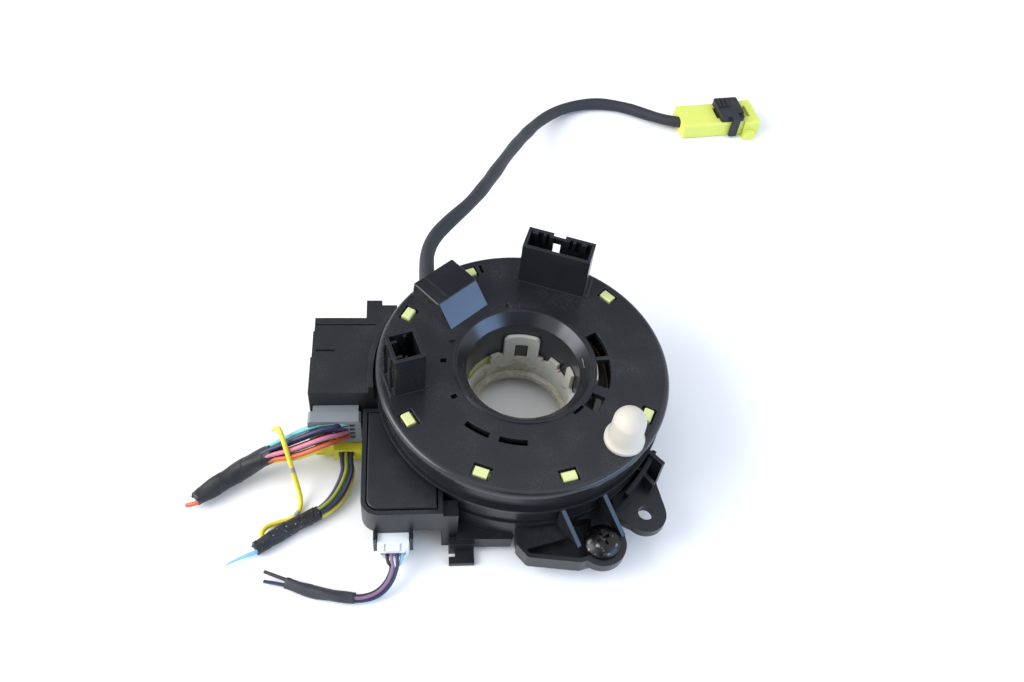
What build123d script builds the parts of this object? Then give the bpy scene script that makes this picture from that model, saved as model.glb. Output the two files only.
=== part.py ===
"""Steering clock spring: a rotor disc turning on a stator case, with a flat cable between them.

Origin on the rotor axis at the plane the assembly stands on, +Z up along the steering column,
X along the front of the connector module. All sizes are in millimetres.
"""
from build123d import *
import os
from math import acos, atan2, cos, degrees, hypot, pi, radians, sin, tan

os.makedirs("parts", exist_ok=True)

# ------------------------------------------------------------------ stack of levels, from the seat up
collar_height = 7.0
base_floor_thickness = 2.0
gear_end_gap = 0.6
gear_thickness = 4.4
board_gap = 1.0
board_thickness = 1.2
chamber_floor_gap = 1.3
chamber_floor_thickness = 1.5
chamber_depth = 18.2
rotor_plate_thickness = 2.3
rotor_rim_depth = 2.8
rim_gap = 0.8
flange_drop = 12.0
flange_thickness = 1.2
hook_ring_thickness = 1.6
hook_ring_trough = 2.4

base_floor_top = collar_height + base_floor_thickness
gear_bottom = base_floor_top + gear_end_gap
gear_top = gear_bottom + gear_thickness
board_bottom = gear_top + board_gap
board_top = board_bottom + board_thickness
chamber_floor_bottom = board_top + chamber_floor_gap
chamber_floor_top = chamber_floor_bottom + chamber_floor_thickness
rotor_underside = chamber_floor_top + chamber_depth
rotor_top = rotor_underside + rotor_plate_thickness
rim_bottom = rotor_top - rotor_rim_depth
case_wall_top = rim_bottom - rim_gap
flange_top = rotor_top - flange_drop
flange_bottom = flange_top - flange_thickness
hook_ring_bottom = rotor_underside - hook_ring_trough - hook_ring_thickness

# ------------------------------------------------------------------ radii about the rotor axis
bore_radius = 20.5
hub_wall = 1.6
funnel_width = 3.5
funnel_depth = 3.6
hub_edge_width = 1.3
hub_edge_height = 0.6
hub_joint_drop = 0.8
rotor_radius = 52.5
rim_edge_radius = 1.8
rim_wall = 1.7
rim_overhang = 1.9
flange_inset = 0.2
case_wall = 1.5
base_step = 0.8
base_wall = 1.5
ring_clearance = 0.4
sleeve_clearance = 0.2
floor_clearance = 0.5
case_seat_gap = 0.1

hub_outer_radius = bore_radius + hub_wall
hub_bottom = chamber_floor_top - hub_joint_drop
funnel_radius = bore_radius + funnel_width
hub_edge_radius = funnel_radius + hub_edge_width
case_outer_radius = rotor_radius - rim_overhang
case_inner_radius = case_outer_radius - case_wall
flange_radius = rotor_radius - flange_inset
floor_opening_radius = hub_outer_radius + floor_clearance
base_radius = case_outer_radius + base_step
base_inner_radius = base_radius - base_wall

# ------------------------------------------------------------------ tongue between the two hub halves
hub_tongue_angles = (116.0, 152.0)
hub_tongue_height = 2.4
hub_tongue_gap = 0.1

# ------------------------------------------------------------------ rotor windows and hooks
hook_angles = (150.4, 112.3, 42.7, -28.1, -75.9, -112.0, -151.1)
hook_width = 4.8
hook_depth = 3.4
hook_proud = 0.4
hook_ring_width = 6.2
hook_ring_wall = 1.5
window_width = 6.6
window_depth = 5.2
window_outer_gap = 0.6
wide_slot_gap = 1.0
wide_slot_width = 5.0
wide_slot_angles = ((6.6, 28.0), (-20.5, 3.6), (-42.0, -28.0))
thin_slot_gap = 0.3
thin_slot_width = 1.2
thin_slot_angles = ((-53.5, -43.0),)
front_slot_gap = 6.3
front_slot_width = 2.2
front_slot_angles = ((-132.0, -115.5), (-109.5, -92.2))
rim_slot_gap = 3.4
rim_slot_width = 4.0
rim_slot_angles = ((105.3, 106.8),)
peg_hole_gap = 3.4
peg_hole_size = (2.2, 1.7)
peg_hole_angles = (176.2, -152.0)
index_mark_gap = 0.9
index_mark_side = 2.4
index_mark_depth = 0.7
index_mark_angles = (98.6, 158.0)
funnel_notch_depth = 1.6
funnel_notch_height = 1.5
funnel_notch_angles = ((-1.0, 12.5), (172.5, 179.0))

hook_ring_radius = case_inner_radius - ring_clearance
hook_radius = hook_ring_radius - hook_depth / 2
window_radius = hook_ring_radius + window_outer_gap - window_depth / 2

# ------------------------------------------------------------------ switch sockets on the rotor
socket_wall = 1.2
socket_height = 18.9
socket_floor = 2.0
socket_plinth_height = 0.8
socket_plinth_margin = 1.6
large_socket_size = (25.6, 10.4)
large_socket_inset = 9.6
large_socket_angle = 70.3
large_socket_turn = -19.7
large_socket_slot_middle = -1.5
large_socket_slot = (2.8, 4.5, 14.8)
large_socket_notch_middle = -0.9
large_socket_notch = (4.6, 1.5)
large_socket_keys = ((-10.0, 2.3), (-6.3, 0.9), (-3.7, 1.6), (2.3, 2.0), (5.0, 1.1), (8.8, 1.9))
key_reach = 1.1
key_height = 4.0
key_drop = 0.3
small_socket_size = (10.8, 12.5)
small_socket_inset = 9.9
small_socket_angle = -172.0
small_socket_turn = 17.0
small_key_rib = 1.0
small_key_spacing = 3.2
small_key_reach = 2.4
small_key_bump = 0.8
small_key_bump_place = 1.4
small_key_drop = 1.0
large_pin_counts = (8, 2)
small_pin_counts = (2, 3)
pin_size = 0.64
pin_pitch = 2.54
pin_length = 7.0

large_socket_place = (rotor_radius - large_socket_inset, large_socket_angle)
small_socket_place = (rotor_radius - small_socket_inset, small_socket_angle)

# ------------------------------------------------------------------ cable outlet cover
outlet_angle = 130.5
outlet_outer_gap = 2.8
outlet_inner_gap = 3.0
outlet_width = 19.0
outlet_height = 7.8
outlet_slope = 7.2
outlet_draft = 0.8
outlet_wall = 1.4
outlet_seam = 0.5
outlet_seam_place = 4.3
outlet_edge_radius = 0.5
outlet_bore_inset = 1.917
outlet_bore_side = 3.9025
outlet_bore_height = 3.5
outlet_bore_length = 7.8
outlet_bore_gap = 0.05

outlet_length = rotor_radius - outlet_outer_gap - hub_edge_radius - outlet_inner_gap
outlet_place = (hub_edge_radius + outlet_inner_gap + outlet_length / 2, outlet_angle)

# ------------------------------------------------------------------ locating pin and its cap
pin_cap_inset = 7.7
pin_cap_angle = -45.0
pin_post_radius = 2.6
pin_post_height = 11.0
pin_cap_height = 16.0
pin_cap_base_radius = 7.0
pin_cap_waist_radius = 5.9
pin_cap_dome_radius = 5.6
pin_cap_flange = 1.2
pin_cap_skirt = 4.2
pin_cap_dome_height = 4.4
pin_clearance = 0.15

pin_cap_place = (rotor_radius - pin_cap_inset, pin_cap_angle)

# ------------------------------------------------------------------ cancelling sleeve in the bore
sleeve_wall = 1.4
sleeve_lip_width = 1.9
sleeve_lip = 2.4
sleeve_drop = 1.6
sleeve_body_height = 12.8
sleeve_tab_top = 23.4
sleeve_tab_angles = (84.0, 204.0, 324.0)
sleeve_tab_span = 40.0
sleeve_tab_corner = 2.4
sleeve_window_span = 14.6
sleeve_window = (10.9, 18.6)
sleeve_window_gap = 0.3
sleeve_fingers = ((8.0, 21.0, 20.6), (36.5, 49.0, 15.6), (108.0, 119.0, 14.0), (236.0, 262.0, 15.0),
                  (272.0, 290.0, 20.6))
sleeve_dips = ((120.5, 158.0, 9.4), (52.0, 58.0, 11.6), (22.0, 34.0, 12.0))
lug_depth = 0.8

sleeve_bottom = base_floor_top - sleeve_drop
sleeve_outer_radius = bore_radius - sleeve_clearance
sleeve_inner_radius = sleeve_outer_radius - sleeve_wall

# ------------------------------------------------------------------ angle sensor gears
drive_teeth = 60
first_teeth = 18
second_teeth = 16
first_gear_angle = -150.0
second_gear_angle = -117.0
gear_wall_gap = 1.0
flank_steps = (-1.15, -0.35, 0.3, 0.9)
gear_backlash = 0.28
gear_spacing_gap = 0.12
gear_pressure_angle = 20.0
gear_post_radius = 2.0
gear_post_shoulder = 1.6
gear_shoulder_gap = 0.2
gear_bore_clearance = 0.12
magnet_radius = 3.0
magnet_height = 2.0
magnet_sink = 0.2
magnet_seat = 0.4
chip_size = 4.0
chip_thickness = 0.7

gear_module = (base_inner_radius - gear_wall_gap) / (drive_teeth / 2 + first_teeth + flank_steps[-1])

# ------------------------------------------------------------------ flat cable
ribbon_thickness = 0.4
ribbon_turns = 5
ribbon_inner_gap = 5.4
ribbon_outer_gap = 3.6
ribbon_lift = 0.1
ribbon_head_room = 1.2
slide_sheet_thickness = 0.3
slide_sheet_inner_gap = 1.5
slide_sheet_outer_gap = 0.3
cable_block_gap = 0.3
inner_block_angles = (-12.0, 12.0)
outer_block_angles = (-14.0, 0.0)
cable_exit_angles = (168.0, 178.0)
cable_exit_sill = 2.0

ribbon_inner_radius = hub_outer_radius + ribbon_inner_gap
ribbon_pitch = (case_inner_radius - ribbon_outer_gap - ribbon_inner_radius) / ribbon_turns
ribbon_bottom = chamber_floor_top + slide_sheet_thickness + ribbon_lift
ribbon_top = hook_ring_bottom - ribbon_head_room

# ------------------------------------------------------------------ connector module
module_reach = 24.6
module_width = 19.6
module_front = -6.0
module_depth = 34.0
module_top = 31.0
module_wall = 1.6
module_step_inset = 0.8
module_step_length = 8.5
module_end_inset = 6.4
module_end_length = 6.2
module_gap = 0.1
lip_gap = 0.9
lip_width = 2.0
lip_height = 3.5
lip_angles = (149.0, 200.0)
side_step = 0.8
side_step_places = (9.8, 21.7)
socket_outer_wall = 1.0
socket_inner_wall = 2.0
socket_web = 1.2
airbag_socket_height = 7.2
main_socket_height = 13.4
socket_depth = 16.0
main_pin_counts = (5, 4)
airbag_pin_counts = (4, 1)
plug_pin_length = 11.0
plug_clearance = 0.25
cover_gap = 0.1
groove_depth = 0.7
back_groove = (1.2, 22.0, 3.0, 0.5)
front_groove = (1.8, 6.8, 14.8, 0.8)

module_left = -(base_radius + module_reach)
module_right = module_left + module_width
module_back = module_front + module_depth
module_step_right = -(base_radius - module_step_inset)
module_step_back = module_back + module_step_length
module_end_right = -(base_radius - module_end_inset)
module_end_back = module_back + module_end_length
socket_left = module_left + socket_outer_wall
socket_right = module_right - socket_inner_wall
airbag_socket = (socket_left, socket_right, module_wall, module_wall + airbag_socket_height)
main_socket = (socket_left, socket_right, airbag_socket[3] + socket_web,
               airbag_socket[3] + socket_web + main_socket_height)

# ------------------------------------------------------------------ harness plugs
main_plug_out = 7.0
main_plug_in = 9.0
main_plug_flange = (4.6, 1.4, 0.7, 0.4)
main_plug_bevel = 0.8
main_plug_rows = 4
main_plug_columns = 6
cavity_size = 1.9
cavity_depth = 5.0
cavity_margin = (2.4, 3.0)
mating_pocket_depth = 8.0
mating_pocket_wall = 2.0
airbag_plug_out = 9.6
airbag_plug_in = 7.0
airbag_plug_step = (9.4, 0.9, 6.0, 2.0)
airbag_plug_mouth = (1.6, 7.0, 1.8)
sensor_plug_length = 13.0
sensor_plug_out = 6.6
sensor_plug_bevel = 1.6
sensor_plug_wall = 1.2
sensor_plug_pocket = 7.0
sensor_plug_mouth = (8.4, 2.4, 2.5)
sensor_plug_rib = (0.5, 0.8)

# ------------------------------------------------------------------ angle sensor housing
tray_reach = 5.6
tray_front_inset = 1.2
tray_width = 27.5
tray_module_gap = 2.0
tray_bottom = 12.0
tray_top = 24.0
tray_wall = 1.6
tray_corner = 6.0
tray_corner_least = 0.5
lid_gap = 0.4
lid_thickness = 1.7
lid_proud = 0.6
lid_bevel = 0.35
lid_case_gap = 0.15
board_edge_gap = 0.5
board_hub_gap = 4.0
board_angles = (-168.0, -104.0)
post_inset = 3.4
post_radius = 1.8
post_pin_radius = 0.9
header_offset = 4.0
header_width = 13.6
header_depth = 9.5
header_wall = 1.2
header_drop = 8.8
header_leg = 3.0
header_pin_count = 4
header_pin_length = 5.0

tray_left = -(base_radius + tray_reach)
tray_front = -(base_radius - tray_front_inset)
tray_right = tray_left + tray_width
tray_back = module_front - tray_module_gap
header_left = tray_left + header_offset
header_right = header_left + header_width
header_middle = (header_left + header_right) / 2
header_level = tray_bottom - header_drop / 2

# ------------------------------------------------------------------ mounting ears and underside
ear_top = 14.0
ear_thickness = 4.2
ear_reach = 11.2
screw_ear_angle = -66.5
screw_ear_radius = 8.6
open_ear_angle = -47.8
open_ear_radius = 7.4
open_ear_thickness = 3.6
ear_hole_radius = 2.75
rib_thickness = 1.6
rib_end_height = 0.6
screw_head_radius = 6.3
screw_head_height = 3.4
screw_rim_height = 1.2
screw_shank_radius = 2.5
screw_length = 12.0
screw_recess = (1.1, 5.0, 1.6)
screw_recess_turn = 28.0
gusset_radius_gap = 1.6
gusset_angles = (-49.0, -32.0)
gusset_span = 14.0
gusset_end_top = 17.5
channel_floor = 1.6
channel_corner = 2.4
strip_drop = 4.0
strip_wall = 1.5
foot_thickness = 2.0
foot_reach = 7.6
foot_width = 8.8
foot_angles = (60.0, 120.0)
foot_root = 2.0
foot_web = 3.0
foot_notch = (2.0, 2.2)
front_foot_middle = -22.7
front_foot_inset = 0.9
collar_gap = 3.9
collar_wall = 2.0
post_size = (5.2, 6.0)
post_drop = 2.0
joint_overlap = 0.5

ear_circle = base_radius + ear_reach
collar_radius = floor_opening_radius + collar_gap

# Plan outlines on the base wall: pairs of reach beyond the base radius and angle.
screw_ear_plate = ((-2.4, -78.2), (10.5, -74.4), (11.2, -66.5), (13.3, -58.9), (-0.9, -54.3))
screw_ear_ribs = (((-0.4, -78.5), (11.5, -73.9)), ((-0.4, -60.6), (12.9, -59.4)))
open_ear_plate = ((-1.5, -32.7), (7.1, -35.5), (15.6, -42.5), (11.2, -47.8), (11.7, -54.5), (4.7, -57.7),
                  (-0.8, -52.2))
open_ear_wall = ((-0.9, -32.9), (7.4, -35.3))
open_ear_web = ((-0.1, -37.7), (7.6, -39.4))
open_ear_web_tops = (20.0, 18.5)
open_ear_front_rib = ((4.5, -49.4), (4.3, -57.2))
open_ear_front_tops = (17.5, 15.4)
channel_outline = ((-1.6, -95.1), (6.2, -94.4), (10.6, -90.9), (15.2, -75.1), (15.3, -70.8), (0.5, -62.4))
channel_shelf = ((-1.6, -95.3), (6.0, -94.6), (7.6, -91.8), (5.3, -76.0), (-0.8, -73.9))
base_strip = ((-1.0, -118.7), (5.6, -115.3), (0.9, -95.8), (-1.2, -94.6))

# ------------------------------------------------------------------ airbag connector on the lead
plug_heading = 8.0
plug_place = (97.0, 178.6)
plug_length = 32.0
plug_width = 16.5
plug_height = 8.4
plug_edge = 1.2
plug_nose_length = 8.5
plug_nose_width = 18.5
plug_nose_edge = 0.9
plug_mouth = (12.0, 2.0, 1.6, 1.4)
plug_nub = (5.5, 3.4, 4.0)
lock_length = 12.5
lock_width = 15.0
lock_height = 3.4
lock_corner = 1.0
lock_travel = 3.0
lock_tongue = 2.0
lock_tongue_inset = 3.4
lock_slot_gap = 0.3
lock_slot_margin = (1.0, 1.4)
lock_seat_gap = 0.05
lock_leg = (5.0, 9.0, 0.4, 2.0)
lock_leg_bottom = 1.2
lock_arm_drop = 2.8
lock_step = (7.4, 2.6, 1.2)
lock_grip = (1.2, 1.0, 0.6)

# ------------------------------------------------------------------ free cords: diameter and route
lead_diameter = 5.5
lead_route = [(-34.0, 33.8, 43.0), (-34.0, 41.6, 43.0), (-33.8, 49.4, 43.6), (-30.9, 57.4, 44.2),
              (-25.2, 65.8, 43.8), (-14.6, 81.0, 41.0), (-5.2, 102.4, 34.6), (4.6, 129.0, 24.6),
              (15.0, 155.4, 13.2), (26.4, 176.4, 6.2), (40.0, 189.2, 3.4), (54.6, 193.8, 2.9),
              (69.0, 191.8, 2.9), (80.6, 186.0, 3.0), (89.4, 180.8, 3.7), (98.0, 178.4, 4.2)]
main_diameter = 6.4
main_route = [(-61.0, -16.8, 17.4), (-70.0, -16.6, 16.6), (-81.0, -16.2, 13.8),
              (-91.0, -17.6, 9.6)]
main_tape_diameter = 8.4
main_tape_route = [(-91.0, -17.6, 9.6), (-98.6, -20.6, 6.4), (-107.4, -26.0, 4.5), (-114.8, -32.2, 4.3)]
pair_diameter = 4.4
pair_route = [(-62.0, -15.0, 6.2), (-62.4, -22.6, 5.0), (-64.8, -29.8, 3.4), (-68.4, -35.2, 2.9),
              (-73.6, -38.9, 2.9)]
pair_tape_diameter = 5.6
pair_tape_route = [(-73.6, -38.9, 2.9), (-80.0, -41.9, 2.9), (-86.6, -46.0, 2.9), (-92.6, -50.8, 2.9)]
sensor_diameter = 3.6
sensor_route = [(-45.4, -56.0, 7.4), (-45.6, -60.4, 6.0), (-47.4, -65.0, 4.2), (-50.9, -68.4, 2.8),
                (-55.7, -69.8, 2.0), (-60.6, -69.6, 1.85)]
sensor_sleeve_diameter = 4.4
sensor_sleeve_route = [(-60.6, -69.6, 2.25), (-67.0, -68.4, 2.25), (-74.6, -66.3, 2.25), (-82.2, -63.2, 2.25),
                       (-89.2, -61.4, 2.25)]
spare_diameter = 1.7
spare_route = [(-91.0, -49.4, 3.4), (-91.9, -45.4, 3.0), (-90.2, -42.0, 1.6), (-86.6, -40.2, 0.95),
               (-82.4, -39.2, 0.95), (-79.5, -36.3, 0.95), (-78.9, -32.0, 1.8), (-80.6, -27.4, 6.6),
               (-82.6, -22.8, 13.2), (-84.4, -18.6, 19.2), (-86.2, -13.6, 19.4), (-87.6, -9.6, 14.6),
               (-89.4, -6.2, 8.6), (-91.0, -3.4, 3.6)]

bend_share = 0.45

BASE = (Align.CENTER, Align.CENTER, Align.MIN)


# ------------------------------------------------------------------ small builders
def polar(radius, angle):
    """Point at a radius and an angle in degrees from +X."""
    return radius * cos(radians(angle)), radius * sin(radians(angle))


def block(x_low, x_high, y_low, y_high, z_low, z_high):
    """Box between six planes."""
    size = (x_high - x_low, y_high - y_low, z_high - z_low)
    return Pos((x_low + x_high) / 2, (y_low + y_high) / 2, z_low) * Box(*size, align=BASE)


def rod(place, radius, low, high):
    """Upright cylinder at an (x, y) place."""
    return Pos(place[0], place[1], low) * Cylinder(radius, high - low, align=BASE)


def ring(inner, outer, low, high):
    """Ring about the rotor axis."""
    return rod((0, 0), outer, low, high) - rod((0, 0), inner, low, high)


def sector(inner, outer, start, end, low, high):
    """Part of a ring between two angles in degrees."""
    section = Plane.XZ * Pos((inner + outer) / 2, (low + high) / 2) * Rectangle(outer - inner, high - low)
    return Rot(0, 0, start) * revolve(section, Axis.Z, end - start)


def turned(profile):
    """Solid of revolution from (radius, height) points."""
    return revolve(make_face(Plane.XZ * Polyline(*profile, close=True)), Axis.Z)


def prism(points, low, high):
    """Upright prism over a plan outline."""
    return Pos(0, 0, low) * extrude(make_face(Polyline(*points, close=True)), high - low)


def placed(part, place, turn):
    """Part moved to a polar place and turned about its own upright axis."""
    x, y = polar(*place)
    return Pos(x, y, 0) * Rot(0, 0, turn) * part


def sloped_rib(start, end, thickness, low, start_top, end_top):
    """Upright rib between two plan points whose top edge slopes."""
    length = hypot(end[0] - start[0], end[1] - start[1])
    heading = degrees(atan2(end[1] - start[1], end[0] - start[0]))
    outline = Polyline((0, low), (length, low), (length, end_top), (0, start_top), close=True)
    web = extrude(make_face(Plane.XZ * outline), thickness / 2, both=True)
    return Pos(start[0], start[1], 0) * Rot(0, 0, heading) * web


def cord_path(points):
    """Straight runs joined by arcs, each as large as its two runs allow."""
    places = [Vector(*point) for point in points]
    runs = [after - before for before, after in zip(places, places[1:])]
    radii = []
    for before, after in zip(runs, runs[1:]):
        turn = before.get_angle(after)
        radii.append(bend_share * min(before.length, after.length) / tan(radians(turn / 2)))
    return FilletPolyline(*points, radius=radii), radii


def cord(name, points, diameter):
    """Plain round cord along its route; prints its length, least radius and volume check."""
    path, radii = cord_path(points)
    tube = sweep((path ^ 0) * Circle(diameter / 2), path=path)
    expected = pi * diameter ** 2 / 4 * path.length
    print(f"{name}: length {path.length:.1f} least radius {min(radii):.1f} = "
          f"{min(radii) / diameter:.1f} d volume ratio {tube.volume / expected:.4f}")
    return tube


# ------------------------------------------------------------------ rotor: top moulding
def annular_slot(gap, width, angles):
    """Slot cutter through the rotor plate, a gap out from the hub's raised edge."""
    inner = hub_edge_radius + gap
    return sector(inner, inner + width, angles[0], angles[1], rotor_underside - 1, rotor_top + 1)


def plate_openings():
    """Cutters for the hook windows, slots and peg holes of the rotor plate."""
    height = rotor_plate_thickness + 2
    window = Pos(0, 0, rotor_underside - 1) * Box(window_depth, window_width, height, align=BASE)
    cutters = [placed(window, (window_radius, angle), angle) for angle in hook_angles]
    for gap, width, spans in ((wide_slot_gap, wide_slot_width, wide_slot_angles),
                              (thin_slot_gap, thin_slot_width, thin_slot_angles),
                              (front_slot_gap, front_slot_width, front_slot_angles)):
        cutters += [annular_slot(gap, width, span) for span in spans]
    rim_gap_place = rotor_radius - rim_slot_gap - rim_slot_width - hub_edge_radius
    cutters += [annular_slot(rim_gap_place, rim_slot_width, span) for span in rim_slot_angles]
    peg = Pos(0, 0, rotor_underside - 1) * Box(*peg_hole_size, height, align=BASE)
    cutters += [placed(peg, (hub_edge_radius + peg_hole_gap, angle), angle) for angle in peg_hole_angles]
    return cutters


def surface_marks():
    """Cutters for the index marks beside the hub and the notches in its funnel."""
    side = index_mark_side
    mark = prism([(0, side / 2), (0, -side / 2), (side, 0)], rotor_top - index_mark_depth, rotor_top + 1)
    cutters = [placed(mark, (hub_edge_radius + index_mark_gap, angle), angle) for angle in index_mark_angles]
    middle = rotor_top - funnel_depth / 2
    for start, end in funnel_notch_angles:
        cutters.append(sector(bore_radius, bore_radius + funnel_notch_depth, start, end,
                              middle - funnel_notch_height / 2, middle + funnel_notch_height / 2))
    return cutters


def socket_shell(size, place, turn):
    """Open-topped socket tower with its low plinth, standing on the rotor plate."""
    width, depth = size
    plinth = Pos(0, 0, rotor_top) * Box(width + 2 * socket_plinth_margin, depth,
                                        socket_plinth_height, align=BASE)
    tower = Pos(0, 0, rotor_top) * Box(width, depth, socket_height, align=BASE)
    return placed(plinth + tower, place, turn)


def socket_pocket(size, place, turn):
    """Cavity of a socket tower, with a flat floor just above the plate."""
    inner = (size[0] - 2 * socket_wall, size[1] - 2 * socket_wall)
    floor = rotor_top + socket_floor
    return placed(Pos(0, 0, floor) * Box(*inner, socket_height, align=BASE), place, turn)


def large_socket_cuts():
    """Window and notch in the outer wall of the large socket."""
    wall_middle = large_socket_size[1] / 2 - socket_wall / 2
    slot_width, slot_low, slot_high = large_socket_slot
    notch_width, notch_depth = large_socket_notch
    slot = Pos(large_socket_slot_middle, wall_middle, rotor_top + slot_low) * Box(
        slot_width, 2 * socket_wall, slot_high - slot_low, align=BASE)
    notch = Pos(large_socket_notch_middle, wall_middle, rotor_top + socket_height - notch_depth) * Box(
        notch_width, 2 * socket_wall, 2 * notch_depth, align=BASE)
    return placed(slot + notch, large_socket_place, large_socket_turn)


def large_socket_key_blocks():
    """Key blocks along the top of the large socket's outer wall."""
    wall_face = large_socket_size[1] / 2 - socket_wall
    low = rotor_top + socket_height - key_drop - key_height
    keys = [Pos(middle, wall_face, low) * Box(width, 2 * key_reach, key_height, align=BASE)
            for middle, width in large_socket_keys]
    return placed(Part() + keys, large_socket_place, large_socket_turn)


def small_socket_key_ribs():
    """Key ribs inside the small socket."""
    half = (small_socket_size[0] / 2 - socket_wall, small_socket_size[1] / 2 - socket_wall)
    floor = rotor_top + socket_floor
    height = socket_height - socket_floor - small_key_drop
    ribs = [Pos(-half[0], offset, floor) * Box(2 * small_key_reach, small_key_rib, height, align=BASE)
            for offset in (-small_key_spacing, small_key_spacing)]
    ribs += [Pos(small_key_bump_place, side * half[1], floor) * Box(
        small_key_rib, 2 * small_key_bump, height, align=BASE) for side in (-1, 1)]
    return placed(Part() + ribs, small_socket_place, small_socket_turn)


def make_rotor_plate():
    """Top disc with hub, funnel, rim, windows, two switch sockets and the pin post."""
    edge_top = rotor_top + hub_edge_height
    plate = turned([
        (bore_radius, hub_bottom), (bore_radius, rotor_top - funnel_depth),
        (funnel_radius, edge_top), (hub_edge_radius, edge_top), (hub_edge_radius, rotor_top),
        (rotor_radius, rotor_top), (rotor_radius, rim_bottom),
        (rotor_radius - rim_wall, rim_bottom), (rotor_radius - rim_wall, rotor_underside),
        (hub_outer_radius, rotor_underside), (hub_outer_radius, hub_bottom)])
    rim = [edge for edge in plate.edges().filter_by(GeomType.CIRCLE)
           if abs(edge.radius - rotor_radius) < 0.01 and abs(edge.center().Z - rotor_top) < 0.01]
    plate = fillet(rim, rim_edge_radius)
    for cutter in plate_openings() + surface_marks():
        plate -= cutter
    for size, place, turn in ((large_socket_size, large_socket_place, large_socket_turn),
                              (small_socket_size, small_socket_place, small_socket_turn)):
        plate += socket_shell(size, place, turn)
        plate -= socket_pocket(size, place, turn)
    plate = plate + large_socket_key_blocks() - large_socket_cuts() + small_socket_key_ribs()
    plate += rod(polar(*pin_cap_place), pin_post_radius, rotor_top - 1, rotor_top + pin_post_height)
    plate -= hub_tongue(hub_tongue_gap)
    for angle in sleeve_tab_angles:
        plate += sleeve_lug(angle)
    return plate


def hub_tongue(gap):
    """Tongue of the lower hub half that keys the upper half, grown by a gap for its notch."""
    start, end = hub_tongue_angles
    spread = degrees(gap / bore_radius)
    return sector(bore_radius - gap, hub_outer_radius + gap, start - spread, end + spread,
                  hub_bottom - gap, hub_bottom + hub_tongue_height + gap)


def sleeve_lug(angle):
    """Lug on the bore wall that snaps into a window of the cancelling sleeve."""
    span = sleeve_window_span - 2 * degrees(sleeve_window_gap / bore_radius)
    low, high = sleeve_window
    return sector(sleeve_outer_radius - lug_depth, bore_radius + hub_wall / 2, angle - span / 2,
                  angle + span / 2, sleeve_bottom + low + sleeve_window_gap,
                  sleeve_bottom + high - sleeve_window_gap)


# ------------------------------------------------------------------ rotor: parts joined to it
def make_hook_ring():
    """Ring under the rotor plate whose hooks come up through the rim windows."""
    inner = hook_ring_radius - hook_ring_width
    trough = hook_ring_bottom + hook_ring_thickness
    disc = turned([(inner, hook_ring_bottom), (hook_ring_radius, hook_ring_bottom),
                   (hook_ring_radius, trough), (inner + hook_ring_wall, trough),
                   (inner + hook_ring_wall, rotor_underside), (inner, rotor_underside)])
    height = rotor_top + hook_proud - hook_ring_bottom
    hook = Pos(0, 0, hook_ring_bottom) * Box(hook_depth, hook_width, height, align=BASE)
    ends = hook.edges().filter_by(Axis.Y).sort_by(Axis.Z)[-2:]
    hook = chamfer(ends, hook_proud)
    for angle in hook_angles:
        disc += placed(hook, (hook_radius - hook_proud / 4, angle), angle)
    return disc


def tooth_flank(pitch_radius, radius, half_pitch_angle):
    """Half tooth angle at a radius on an involute flank."""
    pressure = radians(gear_pressure_angle)
    base = pitch_radius * cos(pressure)
    local = acos(min(1.0, base / radius))
    return half_pitch_angle + tan(pressure) - pressure - (tan(local) - local)


def gear_outline(teeth):
    """Plan outline of a spur gear with a tooth centred on +X; flank steps are in modules."""
    pitch_radius = gear_module * teeth / 2
    half = pi / (2 * teeth) - gear_backlash / (4 * pitch_radius)
    radii = [pitch_radius + step * gear_module for step in flank_steps]
    points = []
    for tooth in range(teeth):
        middle = 2 * pi * tooth / teeth
        flank = [(r, tooth_flank(pitch_radius, r, half)) for r in radii]
        for r, angle in flank:
            points.append((r * cos(middle - angle), r * sin(middle - angle)))
        for r, angle in reversed(flank):
            points.append((r * cos(middle + angle), r * sin(middle + angle)))
    return points


def gear_place(teeth, angle):
    """Axis of a gear that meshes with the drive gear at an angle."""
    return polar(gear_module * (drive_teeth + teeth) / 2 + gear_spacing_gap, angle)


def gear_phase(teeth, angle):
    """Turn of a driven gear, in degrees, that puts a gap at the drive gear's tooth."""
    pitch = 360 / drive_teeth
    offset = radians(angle - pitch * round(angle / pitch))
    shift = offset * drive_teeth * gear_module / 2 - pi * gear_module / 2
    return angle + 180 + degrees(shift / (teeth * gear_module / 2))


def make_gear_sleeve():
    """Lower hub of the rotor with its tongue and the sensor drive gear."""
    gear = prism(gear_outline(drive_teeth), gear_bottom, gear_top)
    gear -= rod((0, 0), bore_radius, gear_bottom - 1, gear_top + 1)
    sleeve = gear + ring(bore_radius, hub_outer_radius, sleeve_bottom, gear_bottom)
    sleeve += ring(bore_radius, hub_outer_radius, gear_top, hub_bottom)
    start, end = hub_tongue_angles
    return sleeve + sector(bore_radius, hub_outer_radius, start, end, hub_bottom,
                           hub_bottom + hub_tongue_height)


def make_sensor_gear(teeth, angle):
    """Small measuring gear with a blind bore below and a magnet pocket above."""
    body = prism(gear_outline(teeth), gear_bottom, gear_top)
    body -= rod((0, 0), gear_post_radius + gear_bore_clearance, gear_bottom - 1,
                gear_top - magnet_height - magnet_seat)
    body -= rod((0, 0), magnet_radius, gear_top - magnet_height, gear_top + 1)
    x, y = gear_place(teeth, angle)
    return Pos(x, y, 0) * Rot(0, 0, gear_phase(teeth, angle)) * body


def make_magnet(teeth, angle):
    """Round magnet in the top of a measuring gear."""
    return rod(gear_place(teeth, angle), magnet_radius, gear_top - magnet_height, gear_top - magnet_sink)


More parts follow.
